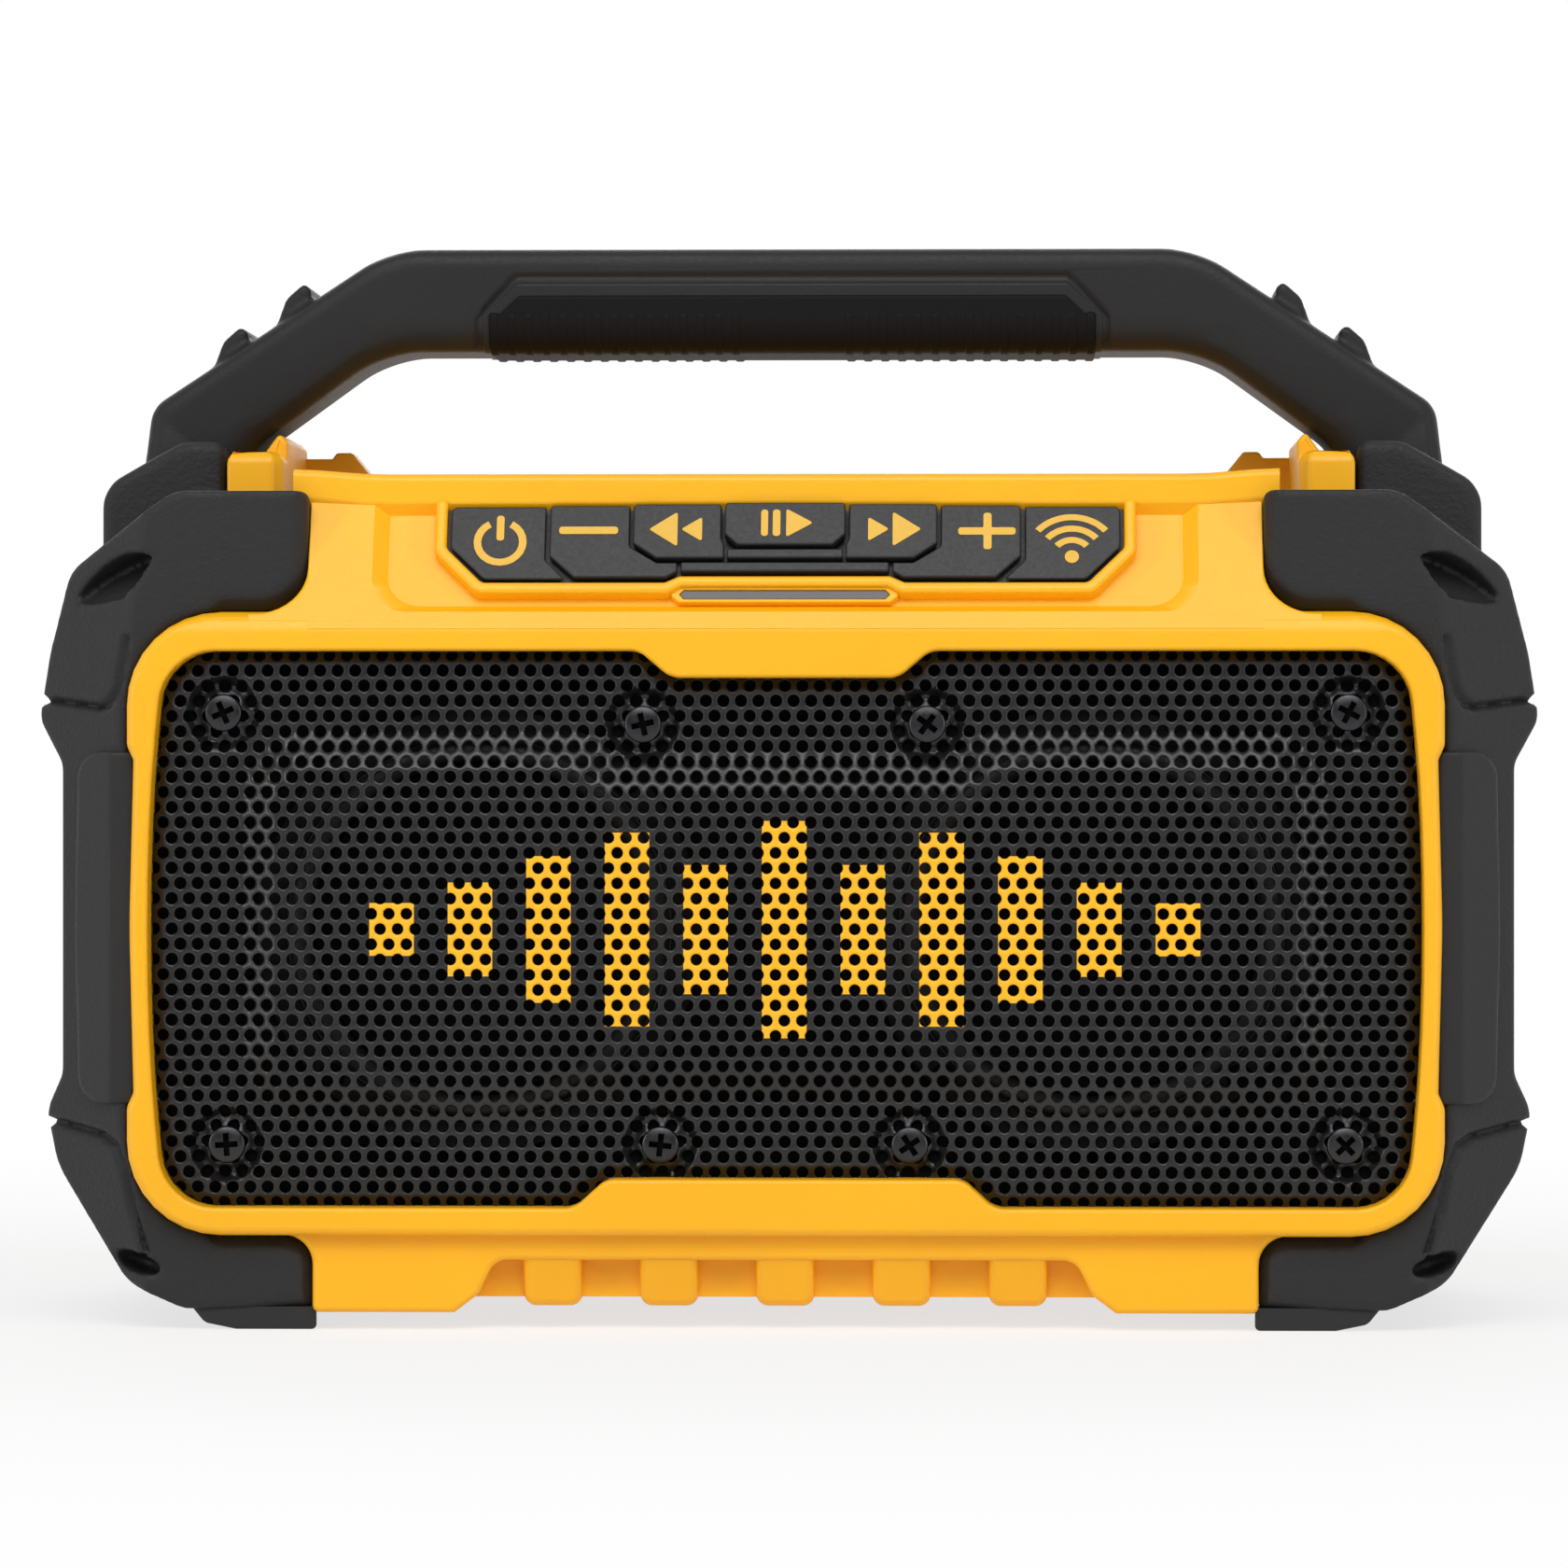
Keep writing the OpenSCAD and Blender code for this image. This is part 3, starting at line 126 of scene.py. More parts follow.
# moulded plastic and rubber: a fine spark-eroded grain, faint cloudiness, uneven gloss
def moulded(name, color, rough, grain, depth, vary=0.06, inkMask=None, **constants):
    def build(at):
        cloud = at.noise(mouldedSet["cloud"], mouldedSet["cloudDetail"])
        fine = at.noise(grain)
        paint = cloud.spread(*noiseRange, 0.0, 1.0).tint(shade(color, 1 - vary), shade(color, 1 + vary))
        if inkMask:
            paint = inkMask(at).tint(paint, printYellow)
        return {
            "Base_Color": paint,
            "Roughness": fine.spread(*noiseRange, rough - mouldedSet["gloss"], rough + mouldedSet["gloss"]),
            "Normal": at.node("Bump", Strength=depth, Distance=mouldedSet["bump"], Height=fine),
        }
    return newMaterial(name, build, **constants)


def metal(name, color, rough):
    def build(at):
        fine = at.noise(metalSet["grain"], metalSet["detail"])
        return {
            "Base_Color": at.noise(metalSet["stain"]).tint(shade(color, metalSet["dark"]), color),
            "Roughness": fine.spread(*noiseRange, rough - metalSet["gloss"], rough + metalSet["gloss"]),
            "Normal": at.node("Bump", Strength=metalSet["depth"], Distance=metalSet["bump"], Height=fine),
        }
    return newMaterial(name, build, Metallic=1.0)


# plain sound-level bars printed on the middle of the grille, from the middle one outwards
barPrint = {"heights": (37, 22, 33, 25, 16, 9), "pitch": 13.4, "width": 7.6, "mid": 68.5}
printYellow = srgb(250, 186, 26)


def soundBars(at):
    across = at.maths("ABSOLUTE", at.axis(0))
    up = at.maths("ABSOLUTE", at.axis(2) - barPrint["mid"] * mm)
    painted = None
    for step, height in enumerate(barPrint["heights"]):
        near = at.maths("ABSOLUTE", across - step * barPrint["pitch"] * mm) < barPrint["width"] / 2 * mm
        painted = near * (up < height / 2 * mm) + (painted or 0.0)
    return painted


housingYellow = moulded("housingYellow", srgb(250, 181, 4), 0.42, 1400.0, 0.10, 0.03, Specular_IOR_Level=0.5)
bumperRubber = moulded("bumperRubber", srgb(33, 33, 34), 0.58, 1400.0, 0.7, Specular_IOR_Level=0.35)
padRubber = moulded("padRubber", srgb(35, 35, 36), 0.55, 1500.0, 0.2, Specular_IOR_Level=0.35)
handlePlastic = moulded("handlePlastic", srgb(36, 36, 37), 0.5, 1600.0, 0.25, Specular_IOR_Level=0.25)
gripRubber = moulded("gripRubber", srgb(14, 14, 15), 0.62, 1700.0, 0.3, Specular_IOR_Level=0.15)
keyPlastic = moulded("keyPlastic", srgb(29, 28, 30), 0.5, 1500.0, 0.15)
# trim plastic, a little darker than the keys: painted shade for the gaps between the keys, where the trim shows
trimPlastic = moulded("trimPlastic", srgb(22, 22, 23), 0.5, 1500.0, 0.2)
iconYellow = moulded("iconYellow", srgb(226, 176, 46), 0.45, 1500.0, 0.1, 0.03)
lensSmoke = moulded("lensSmoke", srgb(76, 74, 73), 0.2, 900.0, 0.02, 0.03)
grillePaint = moulded("grillePaint", srgb(24, 24, 25), 0.34, 1200.0, 0.12, 0.06, soundBars)
blackPaint = moulded("blackPaint", srgb(12, 12, 12), 0.7, 1200.0, 0.15, Specular_IOR_Level=0.2)
# near-black for the parts inside the speaker; in the screws' cross recesses it is painted shade
insideBlack = moulded("insideBlack", srgb(8, 8, 8), 0.85, 900.0, 0.2, Specular_IOR_Level=0.1)
conePaper = moulded("conePaper", srgb(11, 11, 11), 0.85, 700.0, 0.4, Specular_IOR_Level=0.1)
boardGreen = moulded("boardGreen", srgb(24, 90, 52), 0.3, 800.0, 0.1)
sealBlack = moulded("sealBlack", srgb(20, 20, 21), 0.6, 1500.0, 0.2)
screwBlack = metal("screwBlack", srgb(66, 66, 68), 0.34)
steel = metal("steel", srgb(190, 190, 194), 0.3)
brass = metal("brass", srgb(200, 164, 88), 0.28)

finishes = {
    "housing_plastic": housingYellow, "bumper_rubber": bumperRubber, "pad_rubber": padRubber,
    "seal_rubber": sealBlack, "grille_sheet": grillePaint, "black_screw": screwBlack, "screw_steel": steel,
    "driver_frame": blackPaint, "magnet_steel": steel, "cone": conePaper, "key_plastic": keyPlastic,
    "trim_plastic": trimPlastic, "circuit_board": boardGreen, "lens_plastic": lensSmoke,
    "handle_plastic": handlePlastic, "grip_rubber": gripRubber, "socket_plastic": trimPlastic,
    "blade_brass": brass,
}
slotOf = {s["node"]: s["material_slot"] for s in frame["record"]["subparts"]}
for name, node in nodes.items():
    node.data.materials.clear()
    node.data.materials.append(finishes[slotOf[name]])
nodes["driver_screws"].data.materials[0] = insideBlack  # hardly shows through the punched sheet
print("materials on", len(nodes), "nodes")

# how a drawing's (u, v, w) lies on the speaker, in millimetres
fasciaLie = {"foot": (0, -65, 119.8), "lean": 64}
faceFront = Matrix.Rotation(math.radians(90), 4, "X")
faceBack = Matrix.Rotation(math.radians(180), 4, "Z") @ faceFront
faceSide = Matrix(((0, 0, 1, 0), (1, 0, 0, 0), (0, 1, 0, 0), (0, 0, 0, 1)))
facePlan = Matrix.Identity(4)
faceFascia = Matrix.Translation(fasciaLie["foot"]) @ Matrix.Rotation(math.radians(fasciaLie["lean"]), 4, "X")
toLeft = Matrix.Scale(-1, 4, (1, 0, 0))
toRear = Matrix.Scale(-1, 4, (0, 1, 0))


def camel(name):
    words = name.split("_")
    return words[0] + "".join(word.capitalize() for word in words[1:])


def allOf(bm):
    return bm.verts[:] + bm.edges[:] + bm.faces[:]


def vertsIn(geometry):
    return [g for g in geometry if isinstance(g, bmesh.types.BMVert)]


def edgesIn(geometry):
    return [g for g in geometry if isinstance(g, bmesh.types.BMEdge)]


# corners of an upright rectangle; each corner of an outline is (u, v, radius)
def rect(low, high, radius=0):
    return [(low[0], low[1], radius), (high[0], low[1], radius), (high[0], high[1], radius), (low[0], high[1], radius)]


def flat(corners, steps=6):
    bm = bmesh.new()
    verts = [bm.verts.new((u, v, 0)) for u, v, radius in corners]
    bm.faces.new(verts)
    for index, (u, v, radius) in enumerate(corners):
        if radius:
            before = Vector(corners[index - 1][:2]) - Vector((u, v))
            after = Vector(corners[(index + 1) % len(corners)][:2]) - Vector((u, v))
            reach = radius / math.tan(before.angle(after) / 2)
            bmesh.ops.bevel(bm, geom=[verts[index]], offset=reach, offset_type="OFFSET", segments=steps,
                            profile=0.5, affect="VERTICES", clamp_overlap=False, material=-1)
    return bm


def raiseBy(bm, height):
    grown = bmesh.ops.extrude_face_region(bm, geom=bm.faces[:])["geom"]
    moved = vertsIn(grown)
    bmesh.ops.translate(bm, verts=moved, vec=(0, 0, height))
    return moved


def prism(corners, low, high, steps=6):
    bm = flat(corners, steps)
    bmesh.ops.translate(bm, verts=bm.verts[:], vec=(0, 0, low))
    raiseBy(bm, high - low)
    bmesh.ops.recalc_face_normals(bm, faces=bm.faces[:])
    return bm


def box(low, high):
    return prism(rect(low, high), low[2], high[2])


def rod(radius, length):
    bm = bmesh.new()
    bmesh.ops.create_cone(bm, segments=32, radius1=radius, radius2=radius, depth=length, cap_ends=True)
    return bm


# rounds the edges whose middle m and direction d pass the test
def soften(bm, width, test, segments=3):
    edges = [e for e in bm.edges if test((e.verts[0].co + e.verts[1].co) / 2, e.verts[0].co - e.verts[1].co)]
    bmesh.ops.bevel(bm, geom=edges, offset=width, offset_type="OFFSET", segments=segments, profile=0.5,
                    affect="EDGES", clamp_overlap=False, material=-1)
    return bm


def lying(d):
    return abs(d.z) < same


def atLevel(level, keep=lambda m: True):
    return lambda m, d: abs(m.z - level) < same and lying(d) and keep(m)


# half outlines end on the middle plane, where no edge is rounded
def beside(m):
    return m.x > 0.01


# a prism whose upper edges are rounded where keep says so, which is where they lie free
def raised(corners, low, top, edge, keep=lambda m: True, segments=3, steps=6):
    return soften(prism(corners, low, top, steps), edge, atLevel(top, keep), segments)


def mirrorHalf(bm):
    middle = [f for f in bm.faces if all(abs(v.co.x) < weld for v in f.verts)]
    bmesh.ops.delete(bm, geom=middle, context="FACES_ONLY")
    bmesh.ops.mirror(bm, geom=allOf(bm), axis="X", merge_dist=weld)
    bmesh.ops.remove_doubles(bm, verts=bm.verts[:], dist=weld)
    bmesh.ops.recalc_face_normals(bm, faces=bm.faces[:])
    return bm


def place(bm, turn):
    bmesh.ops.transform(bm, matrix=turn, verts=bm.verts[:])
    bmesh.ops.recalc_face_normals(bm, faces=bm.faces[:])
    return bm


def join(parts):
    whole = bmesh.new()
    for part in parts:
        data = bpy.data.meshes.new("joined")
        part.to_mesh(data)
        part.free()
        whole.from_mesh(data)
        bpy.data.meshes.remove(data)
    return whole


def newObject(name, bm):
    data = bpy.data.meshes.new(name)
    bm.to_mesh(data)
    bm.free()
    made = bpy.data.objects.new(name, data)
    bpy.context.scene.collection.objects.link(made)
    return made


# the shape that an object's modifiers give, after which the objects are gone
def settle(target, tools=()):
    bpy.context.view_layer.update()
    made = target.evaluated_get(bpy.context.evaluated_depsgraph_get()).to_mesh()
    result = bmesh.new()
    result.from_mesh(made)
    for used in [target] + list(tools):
        data = used.data
        bpy.data.objects.remove(used)
        bpy.data.meshes.remove(data)
    return result


# cuts the cutters out of a shape, all still in millimetres
def carve(bm, cutters):
    target = newObject("carved", bm)
    tools = [newObject("cutter", cutter) for cutter in cutters]
    for tool in tools:
        cut = target.modifiers.new("cut", "BOOLEAN")
        cut.operation = "DIFFERENCE"
        cut.solver = "EXACT"
        cut.object = tool
    return settle(target, tools)


# distance of points to the line from a to b
def lineDistance(points, a, b):
    along = b - a
    t = numpy.clip(((points - a) @ along) / (along @ along), 0, 1)
    return numpy.hypot(*(points - a - t[:, None] * along).T)


# points along an outline that is drawn as its right half
def loopOf(half):
    bm = flat(half + [(-u, v, r) for u, v, r in reversed(half)])
    points = numpy.array([v.co.xy for v in bm.faces[:][0].verts])
    bm.free()
    return points


# distance of points to an outline, negative inside it
def signedDistance(points, loop):
    best = numpy.full(len(points), numpy.inf)
    crossings = numpy.zeros(len(points), dtype=int)
    for a, b in zip(loop, numpy.roll(loop, -1, axis=0)):
        best = numpy.minimum(best, lineDistance(points, a, b))
        if a[1] != b[1]:
            crosses = (a[1] > points[:, 1]) != (b[1] > points[:, 1])
            crossings += crosses & (points[:, 0] < (b[0] - a[0]) * (points[:, 1] - a[1]) / (b[1] - a[1]) + a[0])
    return numpy.where(crossings % 2 == 1, -best, best)


def ease(t):
    t = numpy.clip(t, 0, 1)
    return t * t * (3 - 2 * t)


# presses a groove along a line that is drawn on the front view
def pressLine(bm, line, half, deep, facing=0.2):
    points = numpy.array([v.co.xy for v in bm.verts])
    pairs = zip(numpy.array(line[:-1]), numpy.array(line[1:]))
    best = numpy.min([lineDistance(points, a, b) for a, b in pairs], axis=0)
    bm.normal_update()
    moves = [(v, v.normal.copy(), deep * (1 - (d / half) ** 2) ** 1.5) for v, d in zip(bm.verts, best)
             if d < half and (v.normal.x > facing or abs(v.normal.z) > facing)]
    for v, out, depth in moves:
        v.co -= out * depth


# melts overlapping solids into one soft-edged moulding, presses its lines in and thins out its faces
def mould(bm, voxel, passes, keep, lines=(), **groove):
    melted = newObject("melted", bm)
    remesh = melted.modifiers.new("remesh", "REMESH")
    remesh.mode = "VOXEL"
    remesh.voxel_size = voxel
    calm = melted.modifiers.new("calm", "SMOOTH")
    calm.iterations = passes
    soft = settle(melted)
    for line in lines:
        pressLine(soft, line, **groove)
    thinned = newObject("thinned", soft)
    fewer = thinned.modifiers.new("fewer", "DECIMATE")
    fewer.ratio = keep
    return settle(thinned)


def addPiece(name, bm, material, stands=(), body="root", turn=facePlan, edge=0.0, sharp=34):
    place(bm, Matrix.Scale(mm, 4) @ turn)
    piece = newObject(name, bm)
    piece.data.materials.append(material)
    piece.data.shade_smooth()
    piece.data.set_sharp_from_angle(angle=math.radians(sharp))
    if edge:
        rounding = piece.modifiers.new("edges", "BEVEL")
        rounding.width = edge * mm
        rounding.segments = 3
        rounding.limit_method = "ANGLE"
        rounding.angle_limit = math.radians(32)
        rounding.use_clamp_overlap = False
        rounding.miter_outer = "MITER_ARC"
    even = piece.modifiers.new("even", "WEIGHTED_NORMAL")
    even.keep_sharp = True
    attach(piece, body)
    if stands:
        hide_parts(*stands)
    return piece


def housingPiece(name, bm, turn=facePlan, stands="front_housing", edge=0.0):
    return addPiece(name, bm, housingYellow, [stands], turn=turn, edge=edge)


# front housing: bezel ring, sloped fascia with its recess, tray lip, chin with teeth, lugs
bezelSet = {"low": 50.0, "top": 65.0, "edge": 0.8, "steps": 8}
bezelRim = {"edge": 1.6, "segments": 4, "away": 1.2}
bezelRoll = {"from": 118.8, "long": 3.9, "deep": 1.8, "cuts": 5, "step": 0.75, "behind": 55}
openCorners = [(19.4, 111.4, 4), (24.8, 116, 4), (105.9, 116, 9.5), (110.54, 68.55, 340), (105.9, 21.1, 9.5),
               (35.8, 21.1, 4), (30.4, 26, 4)]
outerCorners = [(0, 111.4, 0), (0, 122.7, 0), (112.3, 122.7, 16), (112.3, 99.8, 3), (111.2, 97.4, 1.5),
                (111.9, 69, 120), (111.2, 40.6, 1.5), (112.3, 38.2, 3), (112.3, 16.3, 16), (0, 16.3, 0), (0, 26, 0)]
openLoop = loopOf(openCorners)


# the outer edge of the bezel, as against the edge of its opening
def onRim(m):
    return beside(m) and abs(signedDistance(numpy.array([m.xy]), openLoop)[0]) > bezelRim["away"]


bezel = raised(outerCorners + openCorners[::-1], keep=lambda m: beside(m) and not onRim(m), **bezelSet)
soften(bezel, bezelRim["edge"], atLevel(bezelSet["top"], onRim), bezelRim["segments"])
# the top edge rolls back into the slope of the fascia
for cut in range(bezelRoll["cuts"]):
    level = bezelRoll["from"] + cut * bezelRoll["step"]
    bmesh.ops.bisect_plane(bezel, geom=allOf(bezel), plane_co=(0, level, 0), plane_no=(0, 1, 0))
for v in bezel.verts:
    if v.co.y > bezelRoll["from"] and v.co.z > bezelRoll["behind"]:
        v.co.z -= bezelRoll["deep"] * ((v.co.y - bezelRoll["from"]) / bezelRoll["long"]) ** 2
housingPiece("bezel", mirrorHalf(bezel), faceFront)

fasciaSet = {"half": 81.45, "length": 25.8, "inner": 70.6, "low": 3.2, "recess": 1.9, "sunk": (68.0, 20.6),
             "base": -5.0}
half, length, inner, low = [fasciaSet[key] for key in ("half", "length", "inner", "low")]
border = flat([(half, 0, 0), (half, length, 0), (inner, length, 0), (inner, low, 6), (0, low, 0), (0, 0, 0)])
lower = raiseBy(border, -fasciaSet["recess"])
sunk = [v for v in lower if v.co.x < inner + 0.1 and v.co.y > low - 0.1]
sunkWide, sunkLong = fasciaSet["sunk"]
shrink = (sunkWide / inner, sunkLong / (length - low), 1)
bmesh.ops.scale(border, verts=sunk, vec=shrink, space=Matrix.Translation((0, -length, 0)))
base = box((-half, 0.05, fasciaSet["base"]), (half, length, -fasciaSet["recess"]))
housingPiece("fascia", join([mirrorHalf(border), base]), faceFascia)

lipSet = {"lift": 0.9, "from": 69.0, "half": 84.6, "cuts": 40}
lipSection = [(-54.9, 141.6, 1.0), (-54.9, 146.5, 1.3), (-50.1, 146.5, 1.3), (-50.1, 139, 0), (-53, 139, 0)]
lip = prism(lipSection, -lipSet["half"], lipSet["half"])
lengthwise = [e for e in lip.edges if abs(e.verts[0].co.z - e.verts[1].co.z) > 1]
bmesh.ops.subdivide_edges(lip, edges=lengthwise, cuts=lipSet["cuts"], use_grid_fill=False)
for v in lip.verts:
    v.co.y += lipSet["lift"] * ease((abs(v.co.z) - lipSet["from"]) / (lipSet["half"] - lipSet["from"]))
housingPiece("trayLip", lip, faceSide)

deckSet = {"low": 138.6, "top": 142, "edge": 0.6}
deckCorners = [(0, -51, 0), (81.4, -51, 0), (81.4, -30, 0), (90, -30, 0), (90, -0.1, 0), (0, -0.1, 0)]
rearCorners = [(0, 0.1, 0), (90, 0.1, 0), (90, 30, 0), (81.4, 30, 0), (81.4, 57, 0), (46.2, 57, 0), (46.2, 23.8, 0),
               (0, 23.8, 0)]
frontDeck = mirrorHalf(raised(deckCorners, keep=beside, **deckSet))
rearDeck = mirrorHalf(raised(rearCorners, keep=beside, **deckSet))
frontSole, rearSole = box((-80.5, -52, 6.2), (80.5, -0.1, 9.4)), box((-80.5, 0.1, 3.1), (80.5, 57, 7.4))
housingPiece("frontDeck", join([frontDeck, frontSole]))

# yellow web in the rounded upper corners of the bumper plates, in the fascia's slope
webSet = {"low": -7.0, "top": -0.03, "edge": 0.7, "steps": 10}
webCorners = [(80.5, 0.5, 0), (91.4, 0.5, 0), (91.4, 3.2, 0), (81.7, 3.2, 8.6), (81.7, 25.6, 0), (80.5, 25.6, 0)]
web = raised(webCorners, keep=lambda m: m.y > 3.1 and m.x > 81.6, **webSet)
place(web, faceFront.inverted() @ faceFascia)
housingPiece("cornerWebs", join([place(web.copy(), toLeft), web]), faceFront)

chinSet = {"low": 50, "top": 61.5, "edge": 1.1, "steps": 8}
chinCorners = [(0, 18, 0), (86.7, 18, 0), (86.7, 16.2, 0), (80.8, 16.2, 5), (80.8, 3, 1.2), (56.5, 3, 0), (52.5, 6, 3),
               (49.5, 12, 3.2), (0, 12, 0)]
recessCorners = [(-56, 5.4, 0), (56, 5.4, 0), (50, 13, 0), (-50, 13, 0)]
toothSet = {"low": 54, "top": 60.6, "edge": 1.3}
toothRow = {"steps": range(-2, 3), "pitch": 19.9, "half": 4.95, "lean": 0.45, "leanBelow": 12, "leanBehind": 56}
chin = raised(chinCorners, keep=lambda m: beside(m) and m.y < 17.9, **chinSet)
chinParts = [mirrorHalf(chin), prism(recessCorners, 48, 55.5)]
for step in toothRow["steps"]:
    left, right = [step * toothRow["pitch"] + side * toothRow["half"] for side in (-1, 1)]
    corners = [(left, 13, 0), (right, 13, 0), (right, 3.9, 2), (left, 3.9, 2)]
    tooth = raised(corners, keep=lambda m: m.y < 12.9, **toothSet)
    for v in tooth.verts:  # the faces lean back towards the floor
        if v.co.z > toothRow["leanBehind"]:
            v.co.z -= (toothRow["leanBelow"] - v.co.y) * toothRow["lean"]
    chinParts.append(tooth)
housingPiece("chin", join(chinParts), faceFront)

# dark wall that carries the drivers, in an upper and a lower half around their openings
wallSet = {"low": 53, "high": 57, "steps": 12}
wallHalves = []
for top, crown in ((119.5, 102.5), (18.5, 34.5)):
    corners = [(0, 68.5, 0), (18.4, 68.5, 0), (18.4, crown, 34), (86.4, crown, 34), (86.4, 68.5, 0), (111.5, 68.5, 0),
               (111.5, top, 0), (0, top, 0)]
    wallHalves.append(mirrorHalf(prism(corners, **wallSet)))
addPiece("driverWall", join(wallHalves), insideBlack, ["front_housing"], turn=faceFront)

# lugs beside the handle's feet, with a cheek that leans on them, and the tabs behind
lugSet = {"low": 134, "top": 151.6, "edge": 2.2, "segments": 4}
cheekSet = {"low": 0.1, "top": 19, "edge": 0.8}
tabSet = {"low": -26, "high": -17}
lugCorners = [(98.7, -18.6, 0), (98.7, -29, 0.8), (90.6, -29, 1.2), (88.9, -26.5, 1.2), (88.9, -18.6, 0)]
cheekCorners = [(88.9, 134, 0), (88.9, 153.6, 1), (90.4, 155.3, 0.8), (93.4, 151.2, 0.8), (96.4, 150.6, 0),
                (96.4, 134, 0)]
tabCorners = [(77.45, 140, 0), (77.45, 149.4, 0.6), (80.6, 153.3, 0.8), (83.4, 153.3, 0.8), (84.2, 152.2, 0),
              (90.6, 152.2, 0), (90.6, 140, 0)]
lugParts = []
tabs = []
for mirrorTo in (facePlan, toLeft):
    lugParts.append(place(raised(lugCorners, keep=lambda m: m.y < -18.7, **lugSet), mirrorTo))
    lugParts.append(place(raised(cheekCorners, keep=lambda m: m.y > 135, **cheekSet), mirrorTo @ faceFront))
    tab = soften(prism(tabCorners, **tabSet), 0.5, lambda m, d: m.y > 141 and lying(d))
    tabs.append(place(tab, mirrorTo @ faceFront))
housingPiece("frontLugs", join([part.copy() for part in lugParts]))
rearParts = [place(part, toRear) for part in lugParts] + tabs + [rearDeck, rearSole]
housingPiece("rearDeck", join(rearParts), stands="rear_housing")
print("housing halves done")

# grille: punched sheet, raised in the middle, dished round its screws, rolled in at its edge
punch = {"pitch": 3.0, "hole": 2.15, "sides": 12, "rim": 0.16, "sheet": 0.75, "throat": 0.97, "between": 1.4,
         "mid": 68.55, "rows": range(-20, 21), "columns": range(-39, 40), "under": 1.4, "weld": 0.02}
press = {"face": 60.5, "rise": 3.3, "slope": 6.3, "straight": 0.75, "dish": 2.5, "dishRound": 6.3, "boss": 0.8,
         "bossRound": 4.4, "roll": 1.6, "rollWide": 2.6}
fieldCorners = [(31, 92, 3), (36, 96, 3), (86.8, 96, 6), (86.8, 42.2, 6), (44, 42.2, 3), (39, 46.2, 3)]
screwPlaces = [(side * x, z) for x, z in ((96.2, 105.5), (24.3, 103.5), (95.6, 31.6), (21.3, 31.6)) for side in (-1, 1)]


# one hexagon of sheet with its hole, whose edge has a rounded rim above the wall
def punchedCell():
    bm = bmesh.new()
    hole = bmesh.ops.create_circle(bm, segments=punch["sides"], radius=punch["hole"] / 2 + punch["rim"])["verts"]
    holeEdges = list({e for v in hole for e in v.link_edges})
    ring = holeEdges
    for drop, shrink in ((punch["rim"], 1 - punch["rim"]), (punch["sheet"], punch["throat"])):
        grown = bmesh.ops.extrude_edge_only(bm, edges=ring)["geom"]
        lower = vertsIn(grown)
        ring = [e for e in edgesIn(grown) if all(v in lower for v in e.verts)]
        bmesh.ops.translate(bm, verts=lower, vec=(0, 0, -drop))
        bmesh.ops.scale(bm, verts=lower, vec=(shrink, shrink, 1))
    hexagon = bmesh.ops.create_circle(bm, segments=6, radius=punch["pitch"] / math.sqrt(3))["verts"]
    bmesh.ops.subdivide_edges(bm, edges=list({e for v in hexagon for e in v.link_edges}), cuts=1)
    outer = [e for e in bm.edges if min(v.co.length for v in e.verts) > punch["between"]]
    bmesh.ops.bridge_loops(bm, edges=holeEdges + outer)
    return bm


cell = punchedCell()
runs = []
for row in punch["rows"]:
    level = punch["mid"] + row * punch["pitch"] * math.sqrt(3) / 2
    spots = numpy.array([((i + 0.5 * (row % 2)) * punch["pitch"], level) for i in punch["columns"]])
    fits = signedDistance(spots, openLoop) < punch["under"]
    for first in [i for i in range(len(spots)) if fits[i] and (i == 0 or not fits[i - 1])]:
        last = first
        while last + 1 < len(spots) and fits[last + 1]:
            last += 1
        run = cell.copy()
        bmesh.ops.translate(run, verts=run.verts[:], vec=(spots[first][0], spots[first][1], 0))
        if last > first:
            bmesh.ops.spin(run, geom=allOf(run), cent=(0, 0, 0), axis=(0, 0, 1), dvec=(punch["pitch"], 0, 0),
                           angle=0.0, steps=last - first, use_duplicate=True)
        runs.append(run)
sheet = join(runs)
bmesh.ops.remove_doubles(sheet, verts=sheet.verts[:], dist=punch["weld"])
flatPoints = numpy.array([v.co.xy for v in sheet.verts])
ramp = numpy.clip(1 - signedDistance(flatPoints, loopOf(fieldCorners)) / press["slope"], 0, 1)
rise = (press["straight"] * ramp + (1 - press["straight"]) * ease(ramp)) * press["rise"]
for x, z in screwPlaces:
    away = numpy.hypot(flatPoints[:, 0] - x, flatPoints[:, 1] - z)
    rise -= ease(press["dishRound"] - away) * press["dish"] - ease(press["bossRound"] - away) * press["boss"]
rise -= ease(1 + signedDistance(flatPoints, openLoop) / press["rollWide"]) ** 2 * press["roll"]
for v, lift in zip(sheet.verts, rise):
    v.co.z += press["face"] + lift
addPiece("grille", sheet, grillePaint, ["speaker_grille"], turn=faceFront, sharp=50)
print("grille done:", len(runs), "runs of holes")

# pan head screws whose cross recess walls and floor are painted near-black, painted shade in the recess; the profile is
# in shares of radius and height
screwSet = {"round": 3.2, "high": 1.7, "seat": 58.8, "slotWide": 1.0, "slotLong": 3.9, "slotDeep": 1.5, "turn": 0.4,
            "turnStep": 0.7, "recessFrom": 0.6, "recessFloor": 0.5}
panProfile = [(1, 0), (1, 0.5), (0.95, 0.76), (0.84, 0.91), (0.5, 0.98), (0, 1)]


